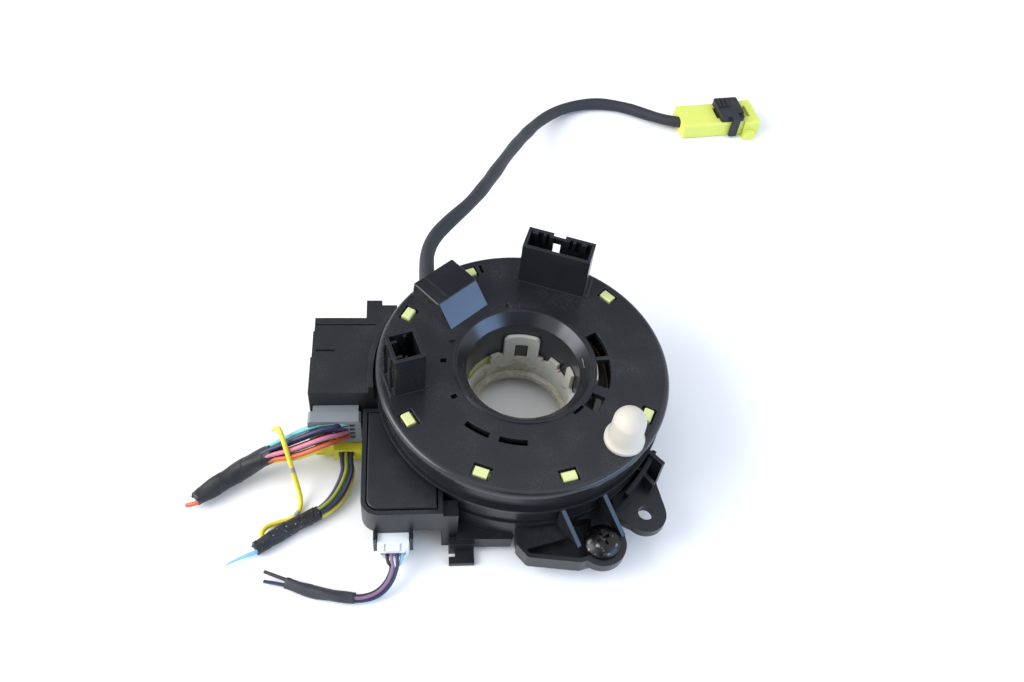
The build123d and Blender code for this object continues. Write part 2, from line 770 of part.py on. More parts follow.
def make_cancel_sleeve():
    """Milky sleeve in the bore: lip, crown of fingers and arched tabs with windows."""
    inner, outer = sleeve_inner_radius, sleeve_outer_radius
    top = sleeve_bottom + sleeve_body_height
    sleeve = ring(inner, outer, sleeve_bottom, top)
    sleeve += ring(inner - sleeve_lip_width, inner, sleeve_bottom, sleeve_bottom + sleeve_lip)
    for start, end, reach in sleeve_fingers:
        sleeve += sector(inner, outer, start, end, top, sleeve_bottom + reach)
    for start, end, reach in sleeve_dips:
        sleeve -= sector(inner - 1, outer + 1, start, end, sleeve_bottom + reach, top + 1)
    tab_top = sleeve_bottom + sleeve_tab_top
    low, high = sleeve_window
    for angle in sleeve_tab_angles:
        tab = sector(inner, outer, angle - sleeve_tab_span / 2, angle + sleeve_tab_span / 2, top, tab_top)
        corners = tab.edges().filter_by(lambda edge: abs(edge.center().Z - tab_top) < 0.01
                                        and abs(edge.length - sleeve_wall) < 0.01)
        sleeve += fillet(corners, sleeve_tab_corner)
        sleeve -= sector(inner - 1, outer + 1, angle - sleeve_window_span / 2,
                         angle + sleeve_window_span / 2, sleeve_bottom + low, sleeve_bottom + high)
    return sleeve


def outlet_wedge(inset, low):
    """Sloping block of the outlet cover, drawn in on every side."""
    half = outlet_length / 2 - inset
    top = rotor_top + outlet_height - inset
    slope_shift = outlet_slope + inset * (1 - outlet_slope / outlet_height) / 2
    outline = Polyline((-half, low), (half, low), (half - outlet_draft, top),
                       (slope_shift - half, top), close=True)
    return extrude(make_face(Plane.XZ * outline), outlet_width / 2 - inset, both=True)


def make_outlet_cover():
    """Sloping hollow cover over the airbag lead where it leaves the rotor."""
    block_outside = outlet_wedge(0, rotor_top)
    sharp = block_outside.edges().filter_by(lambda edge: edge.center().Z > rotor_top + outlet_edge_radius)
    shell = fillet(sharp, outlet_edge_radius) - outlet_wedge(outlet_wall, rotor_top - 1)
    top = rotor_top + outlet_height
    shell -= block(outlet_slope - outlet_length / 2 + outlet_draft, outlet_length / 2 + 1,
                   outlet_seam_place, outlet_seam_place + outlet_seam, top - outlet_seam, top + 1)
    shell -= (Pos(outlet_length / 2 - outlet_bore_inset, outlet_bore_side, rotor_top + outlet_bore_height)
              * Rot(0, 0, -outlet_angle) * Rot(-90, 0, 0)
              * Cylinder(lead_diameter / 2 + outlet_bore_gap, outlet_bore_length, align=BASE))
    return placed(shell, outlet_place, outlet_angle)


def make_pin_cap():
    """Bell-shaped cap over the locating post."""
    inner = pin_post_radius + pin_clearance
    top = rotor_top + pin_cap_height
    shoulder = top - pin_cap_dome_height
    flange_face = rotor_top + pin_cap_flange
    skirt = rotor_top + pin_cap_skirt
    post_hole = rotor_top + pin_post_height + pin_clearance
    base, waist, dome = pin_cap_base_radius, pin_cap_waist_radius, pin_cap_dome_radius
    round_radius = (dome ** 2 + pin_cap_dome_height ** 2) / (2 * pin_cap_dome_height)
    bend = ((base + 2 * waist) / 3, (2 * flange_face + skirt) / 3)
    outline = Curve() + [
        Line((inner, rotor_top), (base, rotor_top)), Line((base, rotor_top), (base, flange_face)),
        ThreePointArc((base, flange_face), bend, (waist, skirt)), Line((waist, skirt), (dome, shoulder)),
        ThreePointArc((dome, shoulder), (round_radius * sin(pi / 4), top - round_radius * (1 - cos(pi / 4))),
                      (0, top)),
        Line((0, top), (0, post_hole)), Line((0, post_hole), (inner, post_hole)),
        Line((inner, post_hole), (inner, rotor_top))]
    return placed(revolve(make_face(Plane.XZ * outline), Axis.Z), pin_cap_place, 0)


def make_socket_pins(columns, rows, place, turn):
    """Square contact pins standing on a socket floor."""
    pins = []
    for column in range(columns):
        for row in range(rows):
            x = (column - (columns - 1) / 2) * pin_pitch
            y = (row - (rows - 1) / 2) * pin_pitch
            pins.append(Pos(x, y, rotor_top + socket_floor) * Box(pin_size, pin_size, pin_length, align=BASE))
    return placed(Compound(children=pins), place, turn)


def make_inner_cable_block():
    """Block on the hub that holds the inner end of the flat cable."""
    start, end = inner_block_angles
    face = ribbon_inner_radius - ribbon_thickness / 2 - cable_block_gap
    return sector(hub_outer_radius, face, start, end, ribbon_bottom, rotor_underside)


# ------------------------------------------------------------------ stator: flat cable chamber
def make_stator_case():
    """Outer wall and flange round the flat cable, with the slot its outer end leaves by."""
    case = turned([
        (case_inner_radius, chamber_floor_top), (case_outer_radius, chamber_floor_top),
        (case_outer_radius, flange_bottom), (flange_radius, flange_bottom),
        (flange_radius, flange_top), (case_outer_radius, flange_top),
        (case_outer_radius, case_wall_top), (case_inner_radius, case_wall_top)])
    start, end = cable_exit_angles
    return case - sector(case_inner_radius - 1, case_outer_radius + case_seat_gap, start, end,
                         chamber_floor_top + cable_exit_sill, flange_bottom - 1)


def make_chamber_floor():
    """Flat floor of the cable chamber, resting on the base wall."""
    return ring(floor_opening_radius, case_outer_radius, chamber_floor_bottom, chamber_floor_top)


def make_slide_sheet():
    """Thin low-friction sheet the flat cable slides on."""
    return ring(hub_outer_radius + slide_sheet_inner_gap, case_inner_radius - slide_sheet_outer_gap,
                chamber_floor_top, chamber_floor_top + slide_sheet_thickness)


def make_ribbon():
    """Flat cable wound in half turns that step outwards."""
    spiral = None
    for half_turn in range(2 * ribbon_turns):
        radius = ribbon_inner_radius + ribbon_pitch / 2 * half_turn
        start = 180 * (half_turn % 2)
        half = sector(radius - ribbon_thickness / 2, radius + ribbon_thickness / 2, start, start + 180,
                      ribbon_bottom, ribbon_top)
        half = Pos(-ribbon_pitch / 2 * (half_turn % 2), 0, 0) * half
        spiral = half if spiral is None else spiral + half
    return spiral


def make_outer_cable_block():
    """Block at the case wall that holds the outer end of the flat cable."""
    radius = ribbon_inner_radius + ribbon_pitch * (ribbon_turns - 0.5)
    start, end = outer_block_angles
    return sector(radius + ribbon_thickness / 2 + cable_block_gap, case_inner_radius, start, end,
                  ribbon_bottom, ribbon_top)


# ------------------------------------------------------------------ stator: base moulding
def beyond_base(points):
    """Plan points from pairs of reach beyond the base radius and angle."""
    return [polar(base_radius + reach, angle) for reach, angle in points]


def tray_outline(inset):
    """Plan outline of the sensor tray, drawn in from its outer face."""
    left, front = tray_left + inset, tray_front + inset
    right, back = tray_right - inset, tray_back - inset
    corner = max(tray_corner - inset, tray_corner_least)
    bend = corner * (1 - cos(pi / 4))
    arc = ThreePointArc((left, front + corner), (left + bend, front + bend), (left + corner, front))
    lines = [Line((right, front), (left + corner, front)), arc, Line((left, front + corner), (left, back)),
             Line((left, back), (right, back)), Line((right, back), (right, front))]
    return make_face(Curve() + lines)


def tray_prism(inset, low, high):
    """Upright prism over the tray outline."""
    return Pos(0, 0, low) * extrude(tray_outline(inset), high - low)


def add_sensor_tray(base):
    """Tray for the sensor board beside the round base, with the header shroud below it."""
    base += tray_prism(0, tray_bottom, tray_top)
    shroud_low = tray_bottom - header_drop
    shroud_back = tray_front + header_depth
    base += block(header_left, header_right, tray_front, shroud_back, shroud_low, tray_bottom)
    for side in (header_left, header_right - header_wall):
        base += block(side, side + header_wall, tray_front - header_leg, tray_front, shroud_low, tray_bottom)
    base -= block(header_left + header_wall, header_right - header_wall, tray_front - 1,
                  shroud_back - header_wall, shroud_low + header_wall, tray_bottom - header_wall)
    return base


def add_screw_ear(base):
    """Ear with the screw: pad, plate and two ribs that run up to the flange."""
    low = ear_top - ear_thickness
    base += rod(polar(ear_circle, screw_ear_angle), screw_ear_radius, low, ear_top)
    base += prism(beyond_base(screw_ear_plate), low, ear_top)
    for rib in screw_ear_ribs:
        start, end = beyond_base(rib)
        base += sloped_rib(start, end, rib_thickness, low, flange_bottom, ear_top + rib_end_height)
    return base


def add_open_ear(base):
    """Ear with the open hole: pad, plate, outer wall and the curved gusset."""
    low = ear_top - open_ear_thickness
    base += rod(polar(ear_circle, open_ear_angle), open_ear_radius, low, ear_top)
    base += prism(beyond_base(open_ear_plate), low, ear_top)
    base += sloped_rib(*beyond_base(open_ear_wall), rib_thickness, low, flange_bottom, flange_bottom)
    base += sloped_rib(*beyond_base(open_ear_web), rib_thickness, low, *open_ear_web_tops)
    base += sloped_rib(*beyond_base(open_ear_front_rib), rib_thickness, low, *open_ear_front_tops)
    inner = base_radius + gusset_radius_gap
    end, start = gusset_angles
    gusset = sector(inner, inner + rib_thickness, end, start, low, flange_bottom)
    middle = inner + rib_thickness / 2
    slope = sloped_rib(polar(middle, start), polar(middle, end), gusset_span, low, flange_bottom,
                       gusset_end_top)
    return base + (gusset & slope)


def add_front_channel(base):
    """Open channel in front of the case, beside the screw ear, with its shelf and the front strip."""
    low = collar_height
    corners = make_face(Polyline(*beyond_base(channel_outline), close=True))
    outside = fillet(corners.vertices(), channel_corner)
    inside = offset(outside, amount=-rib_thickness)
    base += Pos(0, 0, low) * extrude(outside, ear_top - low)
    base -= Pos(0, 0, low + channel_floor) * extrude(inside, ear_top - low)
    base += prism(beyond_base(channel_shelf), ear_top - channel_floor, ear_top)
    base += prism(beyond_base(base_strip), low, base_floor_top)
    start, end = beyond_base(base_strip[1:3])
    return base + sloped_rib(start, end, strip_wall, low - strip_drop, base_floor_top, base_floor_top)


def add_feet(base):
    """Seating collar, corner post and hooked feet under the base."""
    seat = collar_height + joint_overlap
    base += ring(collar_radius - collar_wall, collar_radius, 0, seat)
    base += block(tray_right, tray_right + post_size[0], tray_front, tray_front + post_size[1], 0,
                  tray_top - post_drop)
    half = foot_width / 2
    web = block(0, foot_web, -half, half, 0, seat)
    foot = web + block(0, foot_reach, -half, half, 0, foot_thickness)
    for angle in foot_angles:
        base += Rot(0, 0, angle) * Pos(base_radius - foot_root, 0, 0) * foot
    notch = block(foot_web, foot_web + foot_notch[0], -half - 1, foot_notch[1] - half, -1, foot_thickness + 1)
    return base + Pos(front_foot_middle, front_foot_inset - base_radius, 0) * Rot(0, 0, -90) * (foot - notch)


def make_base_housing():
    """Base moulding: round floor and wall, sensor tray, ears, channel and feet."""
    base = ring(floor_opening_radius, base_radius, collar_height, base_floor_top)
    base += ring(base_inner_radius, base_radius, base_floor_top, chamber_floor_bottom)
    for add in (add_sensor_tray, add_screw_ear, add_open_ear, add_front_channel, add_feet):
        base = add(base)
    inside = rod((0, 0), base_inner_radius, base_floor_top, chamber_floor_bottom)
    above = rod((0, 0), case_outer_radius + case_seat_gap, chamber_floor_bottom, flange_top + 1)
    base = base - inside - above - tray_prism(tray_wall, tray_bottom + tray_wall, tray_top + 1)
    shoulder = gear_post_radius + gear_post_shoulder
    root = base_floor_top - joint_overlap
    for teeth, angle in ((first_teeth, first_gear_angle), (second_teeth, second_gear_angle)):
        place = gear_place(teeth, angle)
        base += rod(place, shoulder, root, gear_bottom - gear_shoulder_gap)
        base += rod(place, gear_post_radius, root, gear_top - magnet_height - magnet_seat - gear_shoulder_gap)
    for place in board_posts():
        base += rod(place, post_radius, tray_bottom + joint_overlap, board_bottom)
        base += rod(place, post_pin_radius, board_bottom, board_top)
    for angle in (screw_ear_angle, open_ear_angle):
        base -= rod(polar(ear_circle, angle), ear_hole_radius, 0, ear_top + 1)
    return base


def board_posts():
    """Places of the standoffs under the sensor board."""
    inset = tray_wall + post_inset
    return [(tray_left + inset, tray_back - inset), (tray_left + inset, tray_front + inset + post_radius),
            (tray_right - inset, tray_front + inset)]


def make_sensor_lid():
    """Lid over the sensor tray, cut to the round case."""
    low, high = tray_top + lid_proud - lid_thickness, tray_top + lid_proud
    lid = tray_prism(tray_wall + lid_gap, low, high)
    lid -= rod((0, 0), case_outer_radius + lid_case_gap, low - 1, high + 1)
    top = lid.edges().filter_by(lambda edge: abs(edge.center().Z - high) < 0.01)
    return chamfer(top, lid_bevel)


def make_sensor_board():
    """Circuit board in the tray that also covers the two measuring gears."""
    inner = hub_outer_radius + board_hub_gap
    start, end = board_angles
    board = tray_prism(tray_wall + board_edge_gap, board_bottom, board_top)
    board += sector(inner, base_inner_radius - board_edge_gap, start, end, board_bottom, board_top)
    board -= rod((0, 0), inner, board_bottom - 1, board_top + 1)
    for place in board_posts():
        board -= rod(place, post_pin_radius, board_bottom - 1, board_top + 1)
    return board


def make_sensor_chips():
    """Hall sensor chips under the board, one over each magnet."""
    chips = []
    for teeth, angle in ((first_teeth, first_gear_angle), (second_teeth, second_gear_angle)):
        x, y = gear_place(teeth, angle)
        chip = Box(chip_size, chip_size, chip_thickness, align=BASE)
        chips.append(Pos(x, y, board_bottom - chip_thickness) * chip)
    return Compound(children=chips)


def make_header_pins():
    """Contact pins from the back wall of the header shroud."""
    wall = tray_front + header_depth - header_wall
    half = pin_size / 2
    pins = []
    for index in range(header_pin_count):
        x = header_middle + (index - (header_pin_count - 1) / 2) * pin_pitch
        pins.append(block(x - half, x + half, wall - header_pin_length, wall, header_level - half,
                          header_level + half))
    return Compound(children=pins)


# ------------------------------------------------------------------ connector module
def module_prism():
    """Upright prism over the stepped plan of the module."""
    return prism([(module_left, module_front), (module_left, module_back), (module_right, module_back),
                  (module_right, module_step_back), (module_step_right, module_step_back),
                  (module_step_right, module_end_back), (module_end_right, module_end_back),
                  (module_end_right, module_front)], 0, module_top)


def make_module_case():
    """Module housing with two plug sockets in front, a rear cavity open below and the arched lip."""
    seat = flange_bottom - module_gap
    lip_radius = rotor_radius + lip_gap
    lip_top = module_top + lip_height
    case = module_prism() - rod((0, 0), base_radius + module_gap, -1, seat)
    case -= rod((0, 0), lip_radius, seat, lip_top)
    start, end = lip_angles
    lip = sector(lip_radius, lip_radius + lip_width, start, end, module_top - 1, lip_top)
    case += lip & block(module_left, module_end_right, module_front, module_step_back, 0, lip_top + 1)
    for x_low, x_high, z_low, z_high in (main_socket, airbag_socket):
        case -= block(x_low, x_high, module_front - 1, module_front + socket_depth, z_low, z_high)
    rear = module_front + socket_depth + module_wall
    case -= block(module_left + module_wall, module_right - module_wall, rear,
                  module_back - module_wall, -1, module_top - module_wall)
    rebate = module_wall / 2
    case -= block(module_left + rebate, module_right - rebate, rear - rebate, module_back - rebate,
                  -1, module_wall)
    first, second = side_step_places
    case -= block(module_left - 1, module_left + side_step, second, module_back + 1, -1, module_top + 1)
    case -= block(module_left - 1, module_left + side_step / 2, first, second, -1, module_top + 1)
    for start_gap, length, back_gap, width in (back_groove, front_groove):
        low = module_left + start_gap
        middle = module_back - back_gap
        case -= block(low, low + length, middle - width, middle, module_top - groove_depth, module_top + 1)
    return case


def make_module_cover():
    """Bottom cover of the module's rear cavity."""
    rebate = module_wall / 2 + cover_gap
    rear = module_front + socket_depth + module_wall - rebate + 2 * cover_gap
    cover = block(module_left + rebate, module_right - rebate, rear, module_back - rebate, 0,
                  module_wall - cover_gap)
    side = module_left + side_step + cover_gap
    return cover - block(module_left - 1, side, side_step_places[0], module_back + 1, -1, module_wall + 1)


def make_plug_pins(socket, columns, rows):
    """Contact pins from the back wall of a module socket."""
    x_low, x_high, z_low, z_high = socket
    wall = module_front + socket_depth
    half = pin_size / 2
    pins = []
    for column in range(columns):
        for row in range(rows):
            x = (x_low + x_high) / 2 + (column - (columns - 1) / 2) * pin_pitch
            z = (z_low + z_high) / 2 + (row - (rows - 1) / 2) * pin_pitch
            pins.append(block(x - half, x + half, wall - plug_pin_length, wall, z - half, z + half))
    return Compound(children=pins)


def mating_pocket(socket, nose):
    """Pocket in a plug's nose that takes the contact pins."""
    x_low, x_high, z_low, z_high = socket
    wall = plug_clearance + mating_pocket_wall
    return block(x_low + wall, x_high - wall, nose - mating_pocket_depth, nose + 1, z_low + wall, z_high - wall)


def wire_cavities(rear, x_low, x_high, z_low, z_high):
    """Square wire entries in the rear face of the main plug."""
    side, lift = cavity_margin
    across = (x_high - x_low - 2 * side) / (main_plug_columns - 1)
    up = (z_high - z_low - 2 * lift) / (main_plug_rows - 1)
    half = cavity_size / 2
    cavities = Part()
    for column in range(main_plug_columns):
        for row in range(main_plug_rows):
            x, z = x_low + side + column * across, z_low + lift + row * up
            cavities += block(x - half, x + half, rear - 1, rear + cavity_depth, z - half, z + half)
    return cavities


def make_main_plug():
    """Grey harness plug: body, rear flange, wire cavities and the mating pocket."""
    x_low, x_high, z_low, z_high = main_socket
    gap = plug_clearance
    rear, nose = module_front - main_plug_out, module_front + main_plug_in
    plug = block(x_low + gap, x_high - gap, rear, nose, z_low + gap, z_high - gap)
    reach, left, right, lift = main_plug_flange
    flange = block(x_low - left, x_high + right, rear, rear + reach, z_low - lift, z_high - gap / 2)
    plug += chamfer(flange.edges().filter_by(Axis.Y), main_plug_bevel)
    return plug - mating_pocket(main_socket, nose) - wire_cavities(rear, x_low, x_high, z_low, z_high)


def make_airbag_plug():
    """Yellow harness plug below the main one, with a mouth where its wires leave."""
    x_low, x_high, z_low, z_high = airbag_socket
    gap = plug_clearance
    width, right, reach, setback = airbag_plug_step
    mouth_start, mouth_end, mouth_wall = airbag_plug_mouth
    rear, nose = module_front - airbag_plug_out, module_front + airbag_plug_in
    plug = block(x_low + gap, x_high - gap, rear + setback, nose, z_low + gap, z_high - gap)
    step = x_high - width
    plug += block(step, x_high + right, rear, rear + reach, z_low, z_high - gap)
    plug -= block(step + mouth_start, step + mouth_end, rear - 1, rear + cavity_depth, z_low + mouth_wall,
                  z_high - mouth_wall)
    pocket = mating_pocket(airbag_socket, nose)
    return plug - pocket


def make_sensor_plug():
    """White harness plug in the header shroud, ribbed on top and tapering to its wires."""
    half_width = header_width / 2 - header_wall - plug_clearance
    half_height = header_drop / 2 - header_wall - plug_clearance
    rear = tray_front - sensor_plug_out
    front = rear + sensor_plug_length
    body = block(-half_width, half_width, rear, front, -half_height, half_height)
    rear_edges = body.edges().filter_by(Axis.Z).sort_by(Axis.Y)[:2]
    body = chamfer(rear_edges, sensor_plug_bevel)
    wall = sensor_plug_wall
    body -= block(wall - half_width, half_width - wall, front - sensor_plug_pocket, front + 1,
                  wall - half_height, half_height - wall)
    mouth_width, mouth_height, mouth_depth = sensor_plug_mouth
    body -= block(-mouth_width / 2, mouth_width / 2, rear - 1, rear + mouth_depth, -mouth_height / 2,
                  mouth_height / 2)
    depth, width = sensor_plug_rib
    for side in (-1, 1):
        middle = side * half_width / 2
        body -= block(middle - width / 2, middle + width / 2, rear - 1, tray_front - header_leg - 1,
                      half_height - depth, half_height + 1)
    return Pos(header_middle, 0, header_level) * body


# ------------------------------------------------------------------ fasteners
def make_ear_screw():
    """Pan-head screw with a cross recess, standing in the first ear."""
    rim, crown = ear_top + screw_rim_height, ear_top + screw_head_height
    dome = ThreePointArc((screw_head_radius, rim), (screw_head_radius * sin(pi / 4), rim + (crown - rim) * cos(
        pi / 4)), (0, crown))
    outline = Curve() + [Line((0, ear_top), (screw_head_radius, ear_top)),
                         Line((screw_head_radius, ear_top), (screw_head_radius, rim)), dome,
                         Line((0, crown), (0, ear_top))]
    head = revolve(make_face(Plane.XZ * outline), Axis.Z)
    width, length, depth = screw_recess
    for turn in (screw_recess_turn, screw_recess_turn + 90):
        head -= Rot(0, 0, turn) * Pos(0, 0, crown - depth) * Box(length, width, depth + 1, align=BASE)
    shank = rod((0, 0), screw_shank_radius, ear_top - screw_length, ear_top)
    return Pos(*polar(ear_circle, screw_ear_angle), 0) * (head + shank)


# ------------------------------------------------------------------ airbag connector on the lead
def on_plug(part):
    """Part moved from the connector's own frame to the end of the lead."""
    return Pos(plug_place[0], plug_place[1], 0) * Rot(0, 0, plug_heading) * part


def make_airbag_connector():
    """Yellow connector: body, wider nose with its mating opening, side nub and the lock's guide slot."""
    body = block(0, plug_length, -plug_width / 2, plug_width / 2, 0, plug_height)
    body = fillet(body.edges().filter_by(Axis.X), plug_edge)
    nose = block(plug_length, plug_length + plug_nose_length, -plug_nose_width / 2, plug_nose_width / 2,
                 0, plug_height)
    body += fillet(nose.edges().filter_by(Axis.X), plug_nose_edge)
    nub_place, nub_reach, nub_height = plug_nub
    body += block(plug_length, plug_length + nub_place, -plug_nose_width / 2 - nub_reach, 0, 0, nub_height)
    depth, side, floor, roof = plug_mouth
    body -= block(plug_length - depth, plug_length + plug_nose_length + 1, side - plug_width / 2,
                  plug_width / 2 - side, floor, plug_height - lock_tongue - roof)
    slot_half = lock_width / 2 - lock_tongue_inset
    back, front = lock_slot_margin
    body -= block(plug_length - lock_length - back, plug_length + lock_travel + front, -slot_half, slot_half,
                  plug_height - lock_tongue, plug_height + 1)
    return on_plug(body)


def make_connector_lock():
    """Black sliding lock on the connector: stepped plate, guide tongue, grip bars and side leg."""
    start, top = plug_length - lock_length, plug_height + lock_height
    plate = block(start, plug_length, -lock_width / 2, lock_width / 2, plug_height + lock_seat_gap, top)
    plate = fillet(plate.edges().filter_by(Axis.Z), lock_corner)
    step_start, step_width, step_depth = lock_step
    plate -= block(start + step_start, plug_length + 1, -lock_width / 2 - 1, step_width - lock_width / 2,
                   top - step_depth, top + 1)
    bar, gap, rise = lock_grip
    for index in range(3):
        low = start + gap + index * (bar + gap)
        plate += block(low, low + bar, 0, lock_width / 2 - gap, top - lock_seat_gap, top + rise)
    slot_half = lock_width / 2 - lock_tongue_inset - lock_slot_gap
    tongue = block(start, plug_length, -slot_half, slot_half, plug_height - lock_tongue + 2 * lock_seat_gap,
                   plug_height + joint_overlap)
    leg_start, leg_end, leg_gap, leg_reach = lock_leg
    side = -plug_width / 2
    leg = block(start + leg_start, start + leg_end, side - leg_reach, side - leg_gap, lock_leg_bottom, top)
    arm = block(start + leg_start, start + leg_end, side - leg_reach, 0, top - lock_arm_drop, top)
    return on_plug(plate + tongue + leg + arm)


# ------------------------------------------------------------------ all nodes
nodes = {
    "rotor_plate": make_rotor_plate(),
    "hook_ring": make_hook_ring(),
    "gear_sleeve": make_gear_sleeve(),
    "cancel_sleeve": make_cancel_sleeve(),
    "outlet_cover": make_outlet_cover(),
    "pin_cap": make_pin_cap(),
    "large_socket_pins": make_socket_pins(*large_pin_counts, large_socket_place, large_socket_turn),
    "small_socket_pins": make_socket_pins(*small_pin_counts, small_socket_place, small_socket_turn),
    "inner_cable_block": make_inner_cable_block(),
    "stator_case": make_stator_case(),
    "chamber_floor": make_chamber_floor(),
    "slide_sheet": make_slide_sheet(),
    "flat_cable": make_ribbon(),
    "outer_cable_block": make_outer_cable_block(),
    "base_housing": make_base_housing(),
    "sensor_lid": make_sensor_lid(),
    "sensor_board": make_sensor_board(),
    "sensor_chips": make_sensor_chips(),
    "header_pins": make_header_pins(),
    "first_gear": make_sensor_gear(first_teeth, first_gear_angle),
    "second_gear": make_sensor_gear(second_teeth, second_gear_angle),
    "first_magnet": make_magnet(first_teeth, first_gear_angle),
    "second_magnet": make_magnet(second_teeth, second_gear_angle),
    "module_case": make_module_case(),
    "module_cover": make_module_cover(),
    "main_socket_pins": make_plug_pins(main_socket, *main_pin_counts),
    "airbag_socket_pins": make_plug_pins(airbag_socket, *airbag_pin_counts),
    "main_plug": make_main_plug(),
    "airbag_plug": make_airbag_plug(),
    "sensor_plug": make_sensor_plug(),
    "ear_screw": make_ear_screw(),
    "airbag_connector": make_airbag_connector(),
    "connector_lock": make_connector_lock(),
    "airbag_lead": cord("airbag_lead", lead_route, lead_diameter),
    "main_harness_tape": cord("main_harness_tape", main_tape_route, main_tape_diameter),
    "airbag_harness_tape": cord("airbag_harness_tape", pair_tape_route, pair_tape_diameter),
    "sensor_harness_sleeve": cord("sensor_harness_sleeve", sensor_sleeve_route, sensor_sleeve_diameter),
    "main_harness": cord("main_harness", main_route, main_diameter),
    "airbag_harness": cord("airbag_harness", pair_route, pair_diameter),
    "sensor_harness": cord("sensor_harness", sensor_route, sensor_diameter),
    "spare_wire": cord("spare_wire", spare_route, spare_diameter),
}

# Each cord is trimmed where it meets the piece that holds its end.
held_ends = {
    "airbag_lead": ["airbag_connector"],
    "main_harness": ["main_harness_tape"],
    "airbag_harness": ["airbag_harness_tape", "airbag_plug"],
    "sensor_harness": ["sensor_harness_sleeve", "sensor_plug"],
    "spare_wire": ["airbag_harness_tape"],
}
for name, holders in held_ends.items():
    for holder in holders:
        nodes[name] -= nodes[holder]

for name, solid in nodes.items():
    export_step(solid, f"parts/{name}.step")
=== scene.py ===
# %% [markdown]
# A steering clock spring carries current from a car's fixed column to its turning wheel.
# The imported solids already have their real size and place, and this lesson never moves
# them. It adds what solids leave out: a finish for every surface, the single wires of the
# cut harnesses, their tape and the woven sleeve of the lead. Blender counts in metres, so
# a size in millimetres is multiplied by MM.

# %% The frame
from collections import namedtuple
from math import cos, pi, radians, sin

import bpy
import numpy as np
from mathutils import Matrix, Vector


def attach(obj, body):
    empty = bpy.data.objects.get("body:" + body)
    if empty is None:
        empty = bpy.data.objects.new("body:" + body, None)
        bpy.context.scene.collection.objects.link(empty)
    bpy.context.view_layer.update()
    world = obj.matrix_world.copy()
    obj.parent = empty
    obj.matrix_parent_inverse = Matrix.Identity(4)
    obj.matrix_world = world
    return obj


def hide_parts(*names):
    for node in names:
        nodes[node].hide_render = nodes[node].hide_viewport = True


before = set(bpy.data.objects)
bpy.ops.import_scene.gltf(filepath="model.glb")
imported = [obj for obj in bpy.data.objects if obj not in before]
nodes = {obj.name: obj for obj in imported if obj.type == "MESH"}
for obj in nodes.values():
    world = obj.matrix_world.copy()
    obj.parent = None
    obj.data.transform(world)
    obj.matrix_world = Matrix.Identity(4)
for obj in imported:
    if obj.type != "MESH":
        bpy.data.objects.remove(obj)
scene = bpy.context.scene
scene.view_settings.view_transform = "Standard"
MM = 0.001


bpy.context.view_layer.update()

# %% [markdown]
# The camera looks down on the rotor from the front, a little from the left, and is rolled
# a few degrees. It could be aimed with a constraint, but its turn is built from three plain
# angles instead, so each can be read and changed. The lens is a focal length in pixels for
# a render of a known width, which suits any sensor size.

# %% The camera
camera_place = Vector((-42.3, -198.3, 310.0)) * MM
camera_turn = radians(-10.5)
camera_tilt = radians(38.12)
camera_roll = radians(8.2)
sensor_width = 36.0
focal_length_in_pixels = 950
render_width_in_pixels = 1024
nearest_seen = 10 * MM

camera = bpy.data.objects.new("camera", bpy.data.cameras.new("camera"))
scene.collection.objects.link(camera)
turned = (Matrix.Rotation(camera_turn, 4, "Z") @ Matrix.Rotation(camera_tilt, 4, "X")
          @ Matrix.Rotation(camera_roll, 4, "Z"))
camera.matrix_world = Matrix.Translation(camera_place) @ turned
camera.data.sensor_width = sensor_width
camera.data.lens = sensor_width * focal_length_in_pixels / render_width_in_pixels
camera.data.clip_start = nearest_seen
scene.camera = camera
print("camera lens", round(camera.data.lens, 2), "mm")

# %% [markdown]
# Shader maths can be wired up by hand, node by node, but it reads best as plain sums. This
# small class holds a socket and turns +, - and * into Math nodes. Plus and minus have their
# reflected forms too, so that a sum may also start with a number, as 0.34 + dirt * 0.18.

# %% Shader values
class Value:
    """A shader socket that sums and products can be written with."""

    def __init__(self, owner, socket):
        self.owner, self.socket = owner, socket

    def math(self, operation, first, second):
        """One Math node on two values."""
        return self.owner.node("ShaderNodeMath", {"operation": operation},
                               {0: first, 1: second})

    def __add__(self, other):
        return self.math("ADD", self, other)

    def __radd__(self, other):
        return self.math("ADD", other, self)

    def __sub__(self, other):
        return self.math("SUBTRACT", self, other)

    def __rsub__(self, other):
        return self.math("SUBTRACT", other, self)

    def __mul__(self, other):
        return self.math("MULTIPLY", self, other)


# %% [markdown]
# The world and each finish are trees of nodes. One class holds such a tree, and every node
# that is added comes from its one method that takes a node's kind, its settings and its
# sockets' values. The short methods below it are for what this part's finishes use most:
# smooth noise, a smooth step, a mix of two colours and a wave.

